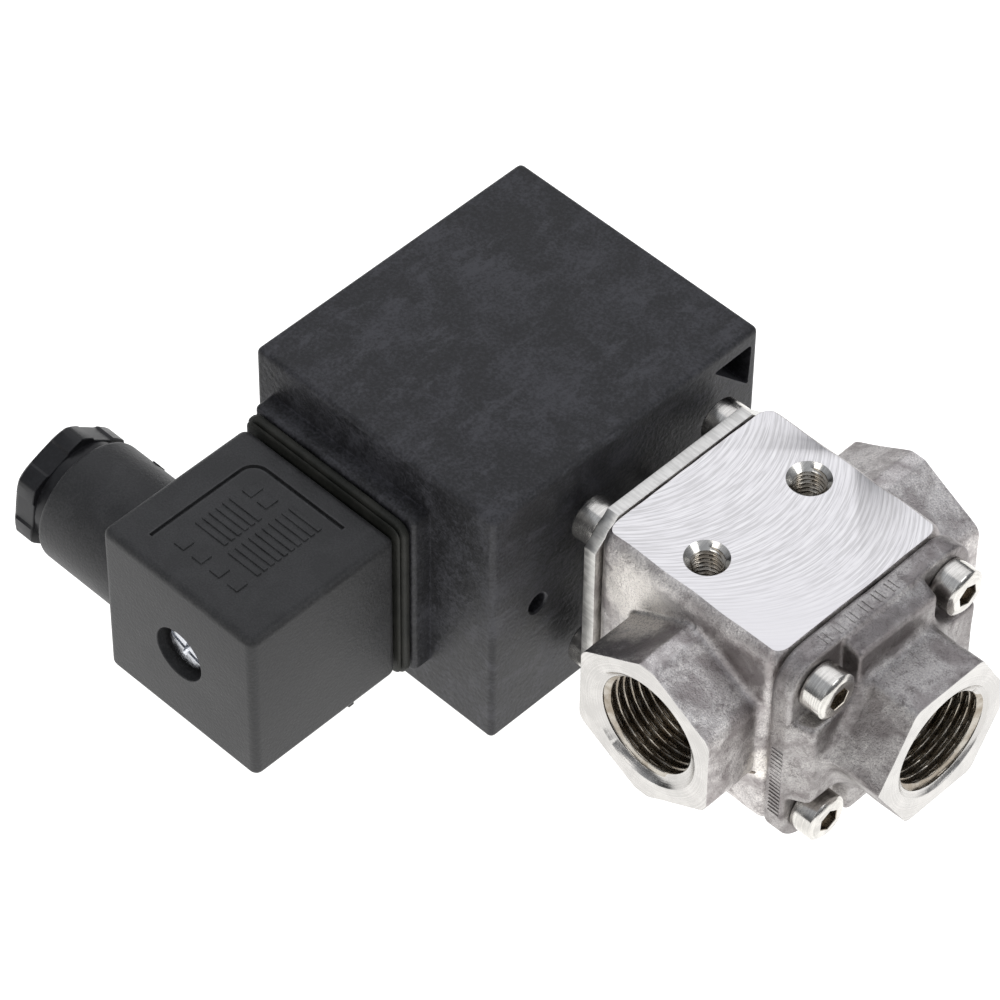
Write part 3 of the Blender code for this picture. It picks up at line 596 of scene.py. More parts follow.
def cast_metal(name, shade=1.0, patches=(), painted_dark_reflections=()):
    """Die-cast aluminium: satin grey with brownish mottling, dark blotches and fine grit. patches are the
    (centre, reach) of bright sandy areas, and the last argument gives those of painted dark reflections:
    patches darkened where the flats reflect dark surroundings."""
    s = Surface(name, metallic=1.0)

    def grey(red, green, blue):
        return (red * shade, green * shade, blue * shade)

    cloud = s.noise(6.0, 5.0, 0.6, distortion=0.5)
    blotch = s.noise(2.2, 5.0, 0.68, distortion=0.3)
    sand = s.noise(0.30, 2.0, 0.7)
    grit = s.noise(0.14, 1.0, 0.5)
    colour = s.mix(s.band(cloud, 0.38, 0.64), grey(0.36, 0.33, 0.325), grey(0.64, 0.615, 0.605))
    colour = s.mix(s.band(blotch, 0.50, 0.70, 0.0, 0.6), colour, grey(0.20, 0.175, 0.175))
    speckle = s.sum((0.6, sand), (0.4, grit))
    colour = s.mix(s.band(speckle, 0.36, 0.48, 0.45, 0.0), colour, grey(0.15, 0.13, 0.13))
    sparkle = s.times(s.band(cloud, 0.44, 0.62), s.band(speckle, 0.50, 0.62))
    sparkle = s.times(sparkle, 0.55)

    def area(centre, reach):
        distance = s.add("ShaderNodeVectorMath", {"operation": "DISTANCE"})
        s.set(distance.inputs[0], s.place)
        s.set(distance.inputs[1], centre)
        near = s.sum((1.0, distance.outputs["Value"]), (0.9 * reach, s.math("SUBTRACT", blotch, 0.5)))
        return s.band(near, reach, 0.45 * reach)

    for centre, reach in patches:
        inside = s.times(area(centre, reach), s.band(speckle, 0.38, 0.54, 0.5, 1.0))
        sparkle = s.math("MAXIMUM", sparkle, inside)
    # Painted dark reflection: these patches darken the colour where the flats reflect dark surroundings.
    for centre, reach in painted_dark_reflections:
        colour = s.mix(s.times(area(centre, reach), 0.75), colour, grey(0.17, 0.16, 0.165))
    colour = s.mix(sparkle, colour, grey(0.95, 0.91, 0.86))
    edge = s.edges(0.5, 0.03, 0.3)
    colour = s.mix(s.times(edge, 0.5), colour, grey(0.86, 0.84, 0.82))
    rough = s.band(s.sum((0.6, blotch), (0.4, cloud)), 0.3, 0.7, 0.36, 0.54)
    height = s.sum((0.7, sand), (0.25, grit), (0.8, s.noise(1.1, 4.0, 0.6)), (0.5, blotch))
    return s.finish(colour, rough, height, 0.09)


def milled_metal():
    """Face milled with a wide cutter: arcs of one radius, stepped along X, that fade towards the front."""
    s = Surface("milled_aluminium", metallic=1.0)
    cutter, feed_y, feed = 22.0, 1.0, 0.8
    off = s.math("SUBTRACT", s.y, feed_y)
    squared = s.math("SUBTRACT", cutter ** 2, s.times(off, off))
    sweep = s.math("SQRT", s.math("MAXIMUM", squared, 1.0))
    along = s.math("SUBTRACT", s.x, sweep)
    drift = s.times(s.y, 0.04)
    path = s.point(along, drift, 0.0)
    fine = s.noise(0.16, 2.0, 0.6, at=path)
    medium = s.noise(0.7, 3.0, 0.65, at=path)
    step = s.math("SINE", s.sum((tau / feed, along), (8.0, medium)))
    patch = s.noise(9.0, 1.0, 0.5)
    fade = s.band(s.sum((0.7, s.x), (-0.7, s.y), (6.0, patch)), 24.0, 38.0, 1.0, 0.15)
    lines = s.sum((0.55, fine), (0.35, medium), (0.05, step))
    deep = s.times(s.band(lines, 0.38, 0.47, 1.0, 0.0), fade)
    crest = s.times(s.band(lines, 0.46, 0.58), fade)
    colour = s.mix(s.times(deep, 0.7), (0.76, 0.745, 0.75), (0.54, 0.53, 0.525))
    colour = s.mix(s.times(crest, 0.6), colour, (0.92, 0.91, 0.90))
    rough = s.band(medium, 0.3, 0.7, 0.30, 0.38)
    height = s.times(lines, fade)
    return s.finish(colour, rough, height, 0.022, soft_edge=0.12)


def lathe_metal(name, axis):
    """Turned face or cone about a port's axis: fine rings."""
    s = Surface(name, metallic=1.0)
    if axis == "Y":
        first, second = s.math("SUBTRACT", s.x, PORT_X), s.z
    else:
        first, second = s.y, s.z
    radius = s.math("SQRT", s.math("ADD", s.times(first, first), s.times(second, second)))
    rings = s.noise(0.22, 2.0, 0.6, at=s.point(radius, 0.0, 0.0))
    patch = s.noise(3.5, 3.0, 0.6)
    pale = (0.68, 0.663, 0.6392)
    dark = tuple(0.78 * c for c in pale)
    colour = s.mix(s.band(s.sum((0.5, rings), (0.5, patch)), 0.42, 0.64), dark, pale)
    rough = s.band(patch, 0.35, 0.7, 0.20, 0.36)
    return s.finish(colour, rough, rings, 0.012, soft_edge=0.12)


def shade_darkened_thread_metal():
    """Cut thread, darkened to paint in the shade inside ports, screw holes and screw sockets."""
    s = Surface("cut_thread_painted_shade", metallic=1.0)
    patch = s.noise(2.4, 4.0, 0.6)
    fine = s.noise(0.18, 3.0, 0.6)
    colour = s.mix(s.band(patch, 0.38, 0.68), (0.30, 0.26, 0.21), (0.50, 0.47, 0.42))
    rough = s.band(fine, 0.3, 0.7, 0.20, 0.34)
    return s.finish(colour, rough, fine, 0.008)


def sheet_metal(name, colour, roughness, across=(1.0, 0.05, 0.05), depth=0.006):
    """Plain machined or plated metal with fine lines; across is how fast they change along X, Y and Z."""
    s = Surface(name, metallic=1.0)
    stretched = s.point(*(s.times(value, rate) for value, rate in zip((s.x, s.y, s.z), across)))
    lines = s.noise(0.25, 3.0, 0.65, at=stretched)
    patch = s.noise(2.2, 3.0, 0.6)
    dark = tuple(0.72 * c for c in colour)
    shade = s.mix(s.band(s.sum((0.5, lines), (0.5, patch)), 0.38, 0.62), dark, colour)
    rough = s.band(patch, 0.35, 0.7, roughness - 0.06, roughness + 0.08)
    return s.finish(shade, rough, lines, depth, soft_edge=0.08)


def rubber():
    s = Surface("black_rubber")
    s.shader.inputs["Specular IOR Level"].default_value = 0.3
    fine = s.noise(0.25, 4.0, 0.7)
    cloud = s.noise(5.0, 3.0, 0.6)
    colour = s.mix(s.band(cloud, 0.35, 0.7), (0.014, 0.015, 0.012), (0.030, 0.030, 0.025))
    rough = s.band(fine, 0.3, 0.7, 0.52, 0.7)
    return s.finish(colour, rough, fine, 0.02)


def wound_copper():
    s = Surface("copper", metallic=1.0)
    wave = s.math("SINE", s.times(s.x, tau / 0.32))
    patch = s.noise(1.8, 3.0, 0.6)
    colour = s.mix(s.band(patch, 0.35, 0.7), (0.55, 0.22, 0.10), (0.78, 0.38, 0.20))
    return s.finish(colour, s.band(patch, 0.35, 0.7, 0.25, 0.42), wave, 0.03)


SANDY_PATCHES = (((15.0, -BODY_WALL_Y, 9.5), 8.5), ((37.0, -BODY_WALL_Y, -5.0), 4.0))
# Painted dark reflection on an upper flat of the -Y boss, which reflects dark surroundings.
PAINTED_DARK_REFLECTIONS = (((PORT_X - 8.0, -BODY_WALL_Y - 6.0, 7.0), 9.0),)

FINISH = {
    "coil_black": moulded("coil_black", (0.014, 0.014, 0.0155), (0.054, 0.054, 0.061), 0.47,
                          grain=0.42, depth=0.085, scuffs=0.45),
    "connector_black": moulded("connector_black", (0.023, 0.023, 0.0235), (0.046, 0.046, 0.047), 0.48,
                               grain=0.26, depth=0.06),
    "gland_black": moulded("gland_black", (0.008, 0.008, 0.009), (0.016, 0.016, 0.018), 0.38,
                           grain=0.5, depth=0.012, scuffs=0.1),
    "black_rubber": rubber(),
    "bobbin_plastic": moulded("bobbin_plastic", (0.42, 0.40, 0.35), (0.60, 0.58, 0.52), 0.45,
                              grain=0.3, depth=0.02),
    "cast_aluminium": cast_metal("cast_aluminium", 1.0, SANDY_PATCHES, PAINTED_DARK_REFLECTIONS),
    "cast_cover": cast_metal("cast_cover", 0.68),
    "machined_steel": sheet_metal("machined_steel", (0.74, 0.73, 0.70), 0.34, (0.05, 0.6, 0.6)),
    "magnet_steel": sheet_metal("magnet_steel", (0.44, 0.44, 0.45), 0.32),
    "stainless": sheet_metal("stainless", (0.74, 0.72, 0.68), 0.20),
    "zinc_steel": sheet_metal("zinc_steel", (0.72, 0.74, 0.78), 0.24, (0.4, 0.4, 0.4), 0.02),
    "brass": sheet_metal("brass", (0.76, 0.57, 0.27), 0.28),
    "copper": wound_copper(),
    "milled": milled_metal(),
    "lathe_y": lathe_metal("turned_side_ports", "Y"),
    "lathe_x": lathe_metal("turned_end_port", "X"),
    # painted shade: the dark thread finish stands for the shade inside bores, holes and sockets
    "thread": shade_darkened_thread_metal(),
}


# ---- coil

CONNECTOR_X = GASKET.middle("x")
ON_CONNECTOR_SCREW = {"axis": "Y", "at": (CONNECTOR_X, 0, 0)}
COIL_WALL_Y = COIL.y[0] + 3.1          # side of the coil block; the pedestal stands out from it
PEDESTAL_HALF = 15.2
BORE_RADIUS = 7.3
MAGNET_X = (-41.0, -4.0)
MAGNET_RADIUS = 18.3
POCKET = ((20.7, 19.5), (13.2, 19.3), (20.3, 12.0))      # corners of the upper pocket in Y and Z
POCKET_DEPTH = 14.0
PIN_HOLE = (-20.2, -0.5)               # Y and Z of the blind hole in the coil's front
BLADES = ("terminal_blade_1", "terminal_blade_2", "earth_blade")


def joined(name, objects):
    """One object from several whose surfaces don't touch."""
    bm = bmesh.new()
    for obj in objects:
        bm.from_mesh(obj.data)
    mesh = bpy.data.meshes.new(name)
    bm.to_mesh(mesh)
    bm.free()
    for material in objects[0].data.materials:
        mesh.materials.append(material)
    for obj in objects:
        bpy.data.objects.remove(obj, do_unlink=True)
    return add_object(name, mesh)


def triangle_pocket(side, finish):
    """Three-cornered pocket in an upper or lower corner of the coil's front, with rounded corners."""
    pocket = prism("pocket", [(y, z * side) for y, z in POCKET], -POCKET_DEPTH, 1, finish)
    bevel(pocket, 0.8, 4)
    return pocket


def make_coil():
    black = "coil_black"
    housing = block("coil_shell", COIL.x, (COIL_WALL_Y, COIL.y[1]), COIL.z, black)
    bevel(housing, 0.9, 5)
    pedestal = block("pedestal", (CONNECTOR_X - PEDESTAL_HALF, CONNECTOR_X + PEDESTAL_HALF),
                     (COIL.y[0], COIL_WALL_Y + 2), (-PEDESTAL_HALF, PEDESTAL_HALF), black)
    bevel(pedestal, 0.8, 5)
    fuse(housing, pedestal)

    back, front = MAGNET_X
    low_x, high_x = COIL.x
    lip = 0.5
    hollow = [(low_x - 1, 0), (low_x - 1, BORE_RADIUS + 1 + lip), (low_x + lip, BORE_RADIUS),
              (back, BORE_RADIUS), (back, MAGNET_RADIUS), (front, MAGNET_RADIUS), (front, BORE_RADIUS),
              (high_x - lip, BORE_RADIUS), (high_x + 1, BORE_RADIUS + 1 + lip), (high_x + 1, 0)]
    cut(housing, turned("magnet_hollow", hollow, black))
    cut(housing, triangle_pocket(1, black), triangle_pocket(-1, black))
    pin = [(-8, 0), (-8, 1.6), (-0.25, 1.6), (1, 2.9), (1, 0)]
    cut(housing, turned("pin_hole", pin, black, steps=48, at=(0, *PIN_HOLE)))
    floor, inner, outer = low_x + 0.5, 10.4, 11.4
    groove = [(low_x - 1, inner), (floor, inner), (floor, outer), (low_x - 1, outer)]
    cut(housing, turned("back_groove", soften(groove, 0.2), black))
    for name in BLADES:
        blade = Box(name)
        cut(housing, block(name + "_slot", wider(blade.x, GAP), (COIL.y[0] - 1, blade.y[1] + GAP),
                           wider(blade.z, GAP), black))
    cut(housing, prism("fixing_thread", circle(1.8, 48), COIL.y[0] - 1, HEAD.y[1] + 0.4, black,
                       **ON_CONNECTOR_SCREW))
    finish_piece(housing, "coil_housing")


def make_coil_fixing():
    """Washer, nut and threaded end of the core on the back of the coil."""
    steel = "zinc_steel"
    hole, rim = 4.3, 8.5
    back, front = WASHER.x
    profile = soften([(back, hole), (back, rim), (front, rim), (front, hole)], 0.25)
    finish_piece(turned("spring_washer", profile, "black_rubber"), "coil_washer")
    back, front = NUT.x
    flats = 14.0
    bore = circle(hole)
    chamfer = circle(flats / 2 - 0.35)
    rim = hexagon(flats, corner_radius=7.75)
    nut = lofted("hexagon_nut", [(back + 0.5, bore), (back, circle(hole + 0.5)), (back, chamfer),
                                 (back + 0.25, hexagon(flats, corner_radius=7.2)), (back + 0.8, rim),
                                 (front - 0.1, rim), (front, hexagon(flats - 0.2, corner_radius=7.6)),
                                 (front, circle(hole + 0.4)), (front - 0.4, bore)], steel, ring=True)
    finish_piece(nut, "coil_nut")

    end, face = CORE.x
    collar_back = TUBE.x[0] - GAP - 3.1
    collar_front = TUBE.x[0] - GAP
    slug, collar, stud = 6.1, 7.0, 4.0
    root = stud - 0.35
    floor, outer, inner = face - 1.9, 4.9, 2.9
    sections = [(end, circle(stud - 0.9)), (end + 0.5, circle(root))]
    sections += threaded(end + 0.6, NUT.x[1] + 3.0, root, stud, 1.0, 96)
    rest = [(collar_back, root), (collar_back, collar), (collar_front, collar), (collar_front, slug),
            (face - 0.2, slug), (face, slug - 0.2), (face, outer), (floor, outer), (floor, inner),
            (face, inner)]
    sections += [(x, circle(radius)) for x, radius in rest]
    core = lofted("core_and_stud", sections, "magnet_steel")
    finish_piece(core, "fixed_core", angle=50)


# ---- connector

SHELL_X = (2 * CONNECTOR_X - CONNECTOR.x[1], CONNECTOR.x[1])     # without the barrel
BARREL_END = CONNECTOR.x[0]
BARREL_RADIUS = 9.4
BARREL_BORE = 7.8
NUB_X = (-50.9, -49.9)         # low rib on the barrel, and how far it is turned from the top
NUB_TURN = radians(-60)
SHELL_WALL = 2.0
GLAND_Y = GLAND.middle("y")
RIB_PITCH = 1.22               # bars of the marking on top
RIB_WIDTH = 0.75
MARKING_HEIGHT = 0.24
MARKING_LINE = ((-35.8, -56.8), (-35.8, -38.0), (-18.7, -38.0))      # start, corner and end in X and Y
RECESS_DEPTH = 4.4             # recess of the centre screw
RECESS_RADIUS = 4.25


def ribbon(points, width):
    """Outline of a strip of one width along an open path in the X-Y plane, for a prism along Z."""
    left, right = [], []
    path = [Vector(point) for point in points]
    for i, point in enumerate(path):
        along = (path[min(i + 1, len(path) - 1)] - path[max(i - 1, 0)]).normalized()
        across = Vector((-along.y, along.x)) * width / 2
        left.append(point + across)
        right.append(point - across)
    return [(point.y, -point.x) for point in left + right[::-1]]


def corner_path(start, corner, end, radius, steps=8):
    """Path from start to end round a quarter circle at a corner, in the X-Y plane."""
    corner = Vector(corner)
    to_start = (Vector(start) - corner).normalized()
    to_end = (Vector(end) - corner).normalized()
    centre = corner + (to_start + to_end) * radius
    arc = []
    for i in range(steps + 1):
        angle = pi / 2 * i / steps
        arc.append(centre - to_end * radius * cos(angle) - to_start * radius * sin(angle))
    return [Vector(start), *arc, Vector(end)]


def row(first, pitch, width, count):
    """Limits of evenly spaced strips."""
    return [(first + pitch * i, first + pitch * i + width) for i in range(count)]


def top_marking(top, finish):
    """Low raised shapes that say nothing: two columns of parallel bars, and a row of squares at each end."""
    shapes = [((-33.2, -27.5), y) for y in row(-51.2, RIB_PITCH, RIB_WIDTH, 6)]
    shapes += [((-26.3, -20.6), y) for y in row(-51.8, RIB_PITCH, RIB_WIDTH, 10)]
    shapes += [(x, (-55.6, -53.6)) for x in row(-32.6, 3.4, 1.9, 4)]
    shapes += [(x, (-42.9, -40.6)) for x in row(-33.0, 2.9, 1.8, 2)]
    bars = []
    for x, y in shapes:
        bar = block("bar", x, y, (top - 0.6, top + MARKING_HEIGHT), finish)
        bevel(bar, 0.08, 2)
        bars.append(bar)
    return joined("marking", bars)


def make_connector():
    black = "connector_black"
    low_y, high_y = CONNECTOR.y
    shell = block("connector_shell", SHELL_X, CONNECTOR.y, CONNECTOR.z, black)
    bevel(shell, 1.3, 6)
    inside = SHELL_X[0] + 1.6
    barrel = [(BARREL_END, 0), (BARREL_END, BARREL_RADIUS), (inside, BARREL_RADIUS), (inside, 0)]
    fuse(shell, turned("barrel", soften(barrel, 0.9, 6), black, steps=128, at=(0, GLAND_Y, 0)))
    nub = block("nub", NUB_X, (-1.2, 1.2), (BARREL_RADIUS - 0.6, BARREL_RADIUS + 0.15), black)
    bevel(nub, 0.1, 2)
    lean = Matrix.Translation(ORIGIN + Vector((0, GLAND_Y * MM, 0))) @ Matrix.Rotation(NUB_TURN, 4, "X")
    nub.data.transform(lean @ Matrix.Translation(-ORIGIN))
    fuse(shell, nub)

    wall = SHELL_WALL
    cut(shell, block("cavity", (SHELL_X[0] + wall, SHELL_X[1] - wall), (low_y + wall, high_y + 1),
                     (CONNECTOR.z[0] + wall, CONNECTOR.z[1] - wall), black))
    floor_y = low_y + RECESS_DEPTH
    boss_end = floor_y + 2.4
    through = 1.8
    fuse(shell, prism("screw_boss", circle(6.0), low_y + 1, boss_end, black, **ON_CONNECTOR_SCREW))
    recess = [(low_y - 1, 0), (low_y - 1, RECESS_RADIUS + 1.1), (low_y + 0.1, RECESS_RADIUS),
              (floor_y, RECESS_RADIUS), (floor_y, through), (boss_end + 1, through), (boss_end + 1, 0)]
    cut(shell, turned("screw_recess", recess, black, **ON_CONNECTOR_SCREW))
    shoulder, inside, wire_hole = SHELL_X[0] + 0.6, SHELL_X[0] + wall + 1, 5.0
    bore = [(BARREL_END - 1, 0), (BARREL_END - 1, BARREL_BORE + 1.2), (BARREL_END + 0.2, BARREL_BORE),
            (shoulder, BARREL_BORE), (shoulder, wire_hole), (inside, wire_hole), (inside, 0)]
    cut(shell, turned("gland_bore", bore, black, at=(0, GLAND_Y, 0)))
    top = CONNECTOR.z[1]
    line = corner_path(*MARKING_LINE, 2.4)
    cut(shell, prism("marking_line", ribbon(line, 0.6), top - 0.6, top + 1, black, axis="Z"))
    fuse(shell, top_marking(top, black))
    tab_x = (SHELL_X[1] - 3.0, SHELL_X[1] - 0.4)
    fuse(shell, block("tab", tab_x, (-43.0, -42.1), (-top - 0.2, -13.0), black))
    finish_piece(shell, "connector_housing")
    make_gasket()
    make_connector_screw(floor_y)


def make_gasket():
    """Flat seal with a rounded double lip round its edge, and the openings for the blades and the screw."""
    finish = "black_rubber"
    half = GASKET.half("x")
    low, high = GASKET.y
    thick = high - low
    corner = 2.0
    lip = [(0.0, -0.9), (0.04, -0.5), (0.10, -0.38), (0.17, -0.5), (0.20, -0.85), (0.30, -0.85),
           (0.36, -0.2), (0.44, -0.03), (0.60, 0.0), (0.80, 0.0), (0.92, -0.1), (1.0, -0.45)]
    sections = [(low + thick * t, rectangle(half + out, half + out, corner + out)) for t, out in lip]
    gasket = lofted("connector_seal", sections, finish, **ON_CONNECTOR_SCREW)
    cut(gasket, prism("seal_screw_hole", circle(2.2, 48), low - 1, high + 1, finish, **ON_CONNECTOR_SCREW))
    for name in BLADES:
        blade = Box(name)
        cut(gasket, block(name + "_opening", wider(blade.x, 0.4), (low - 1, high + 1), wider(blade.z, 0.4),
                          finish))
    finish_piece(gasket, "connector_gasket", angle=50)


def make_connector_screw(floor_y):
    """M3 pan-head screw with a slot across a crosshead recess."""
    steel = "zinc_steel"
    top = HEAD.y[0] - GAP
    tip = HEAD.y[1]
    seat = floor_y - 0.05
    head = HEAD.half("x")
    dome = [(top + depth, circle(head * share)) for depth, share in
            ((0.0, 0.28), (0.02, 0.6), (0.06, 0.82), (0.17, 0.94), (0.35, 0.99), (0.6, 1.0))]
    neck = [(seat - 0.15, circle(head)), (seat, circle(head - 0.15)), (seat, circle(1.25))]
    shank = threaded(seat + 0.6, tip, 1.25, 1.5, 0.5, 96, 8)
    screw = lofted("crosshead_screw", dome + neck + shank, steel, **ON_CONNECTOR_SCREW)
    cross_depth, long, short = 1.3, 1.55, 0.36
    for a, b in ((short, long), (long, short)):
        outlines = [(top - 0.5, rectangle(a * 1.15, b * 1.15)),
                    (top + cross_depth, rectangle(a * 0.45, b * 0.45))]
        cut(screw, lofted("cross", outlines, steel, **ON_CONNECTOR_SCREW))
    across = wider((CONNECTOR_X, CONNECTOR_X), 4)
    cut(screw, block("slot", across, (top - 1, top + 0.65), (-short, short), steel))
    tilt = Matrix.Rotation(radians(20), 4, "Y")
    centre = Matrix.Translation(ORIGIN + Vector((CONNECTOR_X, 0, 0)) * MM)
    screw.data.transform(centre @ tilt @ centre.inverted())
    finish_piece(screw, "connector_screw", angle=32)


def make_gland():
    black = "gland_black"
    face, spigot_end = GLAND.x
    corner = radians(22)
    flats = 17.0
    nut_back = face + 4.0
    neck_end = BARREL_END - GAP
    neck = BARREL_BORE + 0.2

    def nut(across, round_at, recess=0.0):
        return hexagon(across, 192, corner, round_at, recess, 0.46)

    def ring(radius):
        return circle(radius, 192, corner)

    hole = 4.0
    sections = [(spigot_end, ring(hole)), (face + 0.5, ring(hole)), (face + 0.12, ring(hole + 0.12)),
                (face, ring(hole + 0.5)), (face, ring(7.3)), (face + 0.05, nut(15.4, 7.9)),
                (face + 0.25, nut(16.2, 8.7, 0.05)), (face + 0.6, nut(16.8, 9.3, 0.2)),
                (face + 0.9, nut(flats, 9.6, 0.3)), (nut_back - 0.12, nut(flats, 9.6, 0.3)),
                (nut_back, nut(flats - 0.2, 9.5, 0.3)), (nut_back, ring(neck)), (neck_end - 0.1, ring(neck)),
                (neck_end, ring(neck - 0.1)), (neck_end, ring(7.3))]
    sections += threaded(neck_end + 0.5, spigot_end - 0.4, 7.2, 7.5, 1.5, 192, 8)
    sections += [(spigot_end, ring(7.0))]
    gland = lofted("gland_cap", sections, black, ring=True, at=(0, GLAND_Y, 0))
    finish_piece(gland, "gland_nut", angle=30)
    back, front = Box("gland_seal").x
    inner, outer = 3.6, 7.4
    profile = soften([(back, inner), (back, outer), (front, outer), (front, inner)], 0.5)
    finish_piece(turned("cable_seal", profile, "black_rubber", at=(0, GLAND_Y, 0)), "gland_seal")


# ---- armature, plate and screws

def make_armature():
    flange = 12.0
    bore, outer = 6.4, 7.0
    back, front = TUBE.x
    flange_back = front - 1.5
    profile = [(back, bore), (back, outer), (flange_back, outer), (flange_back, flange), (front, flange),
               (front, bore)]
    finish_piece(turned("guide_tube", soften(profile, 0.35), "stainless"), "armature_tube")


def make_spring():
    """Compression spring with ground, closed end turns."""
    wire, radius = 0.35, 2.3
    back, front = SPRING.x
    turns, dead = 7.0, 0.9
    steps, sides = 40, 14
    count = int((turns + 2 * dead) * steps)
    closed = 2 * wire * 1.03 * dead
    rise = (front - back - 2 * wire - 2 * closed) / turns
    rings = []
    for i in range(count + 1):
        turn = i / steps
        x = back + wire + min(turn, dead) / dead * closed
        x += min(max(turn - dead, 0), turns) * rise + max(turn - dead - turns, 0) / dead * closed
        angle = tau * turn
        ring = []
        for k in range(sides):
            around = tau * k / sides
            out = radius + wire * cos(around)
            ring.append((x + wire * sin(around), out * cos(angle), out * sin(angle)))
        rings.append(ring)
    spring = skinned("coil_spring", rings, "stainless")
    finish_piece(spring, "return_spring", angle=60)
    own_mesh(spring)


def cap_screw(name, head_top, seat, tip, at, spin):
    """M4 socket-head screw along X: chamfered head, hexagon socket with a drilled bottom, threaded shank."""
    way = 1 if seat > head_top else -1
    head, socket, minor, major = 3.5, 3.0, 1.6, 1.95

    def step(distance):
        return head_top + way * distance

    sections = [(step(0.0), circle(2.62)), (step(0.05), circle(2.75)), (step(0.42), circle(head - 0.1)),
                (step(0.55), circle(head)), (seat - way * 0.2, circle(head)), (seat, circle(head - 0.2)),
                (seat, circle(major))]
    sections += threaded(tip - way * 0.5, seat + way * 1.5, minor, major, 0.7, 96, 8)[::-1]
    sections.append((tip, circle(minor - 0.35)))
    screw = lofted(name, sections, "stainless", at=at, spin=spin)
    key = [(step(-0.5), hexagon(socket + 0.9)), (step(0.1), hexagon(socket)), (step(2.05), hexagon(socket)),
           (step(2.5), hexagon(0.4))]
    # The socket takes the dark thread finish: painted shade inside the socket.
    cut(screw, lofted("socket", key, "thread", at=at, spin=spin))
    return screw


def make_screws():
    places = ((1, 1), (-1, 1), (-1, -1), (1, -1))
    for number, (y_side, z_side) in enumerate(places, 1):
        at = (0, y_side * SCREW_OFFSET, z_side * SCREW_OFFSET)
        spin = radians(17 + 23 * number)
        rear = cap_screw(f"rear_cap_screw_{number}", FLANGE_SCREW.x[0], PLATE.x[0] - 0.02, FLANGE_SCREW.x[1],
                         at, spin)
        finish_piece(rear, f"flange_screw_{number}", angle=30)
        front = cap_screw(f"cover_cap_screw_{number}", COVER_SCREW.x[1], COVER_FACE + 0.02, COVER_SCREW.x[0],
                          at, spin)
        finish_piece(front, f"cover_screw_{number}", angle=30)


def screw_holes(low, high, finish):
    """Four clearance cutters for the M4 screws."""
    hole = circle(2.25, 48)
    return [prism("hole", hole, low, high, finish, at=(0, y, z))
            for y in (SCREW_OFFSET, -SCREW_OFFSET) for z in (SCREW_OFFSET, -SCREW_OFFSET)]


def make_plate():
    """Square steel plate with cut corners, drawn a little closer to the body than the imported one."""
    steel = "machined_steel"
    a = PLATE.y[1]
    b = a - 4.3
    outline = [(a, b), (b, a), (-b, a), (-a, b), (-a, -b), (-b, -a), (b, -a), (a, -b)]
    plate = prism("clamp_plate", outline, PLATE.x[0], PLATE.x[1] + 0.22, steel)
    low, high = wider(PLATE.x, 1)
    cut(plate, prism("plate_bore", circle(TUBE_CLEAR), low, high, steel))
    cut(plate, *screw_holes(low, high, steel))
    bevel(plate, 0.16, 3, angle=25)
    finish_piece(plate, "tube_flange_plate")


# ---- valve body and cover

def port(name, face, floor, mouth_radius, lathe, **where):
    """Cutters for one threaded port along X: the thread and its chamfered mouth."""
    entry = PORT_MAJOR + 0.05
    shoulder = face - (mouth_radius - entry)
    sections = threaded(floor, face + 1, PORT_MINOR, PORT_MAJOR, PORT_PITCH, PORT_STEPS, 14, fade=2.0)
    # The thread rod gives the port's inside the dark thread finish: painted shade down the bore.
    rod = lofted(name + "_thread", sections, "thread", **where)
    profile = [(shoulder - 0.35, 0), (shoulder - 0.35, PORT_MINOR - 0.02), (shoulder, entry),
               (face, mouth_radius), (face + 1, mouth_radius + 1), (face + 1, 0)]
    return rod, turned(name + "_mouth", profile, lathe, steps=PORT_STEPS, **where)


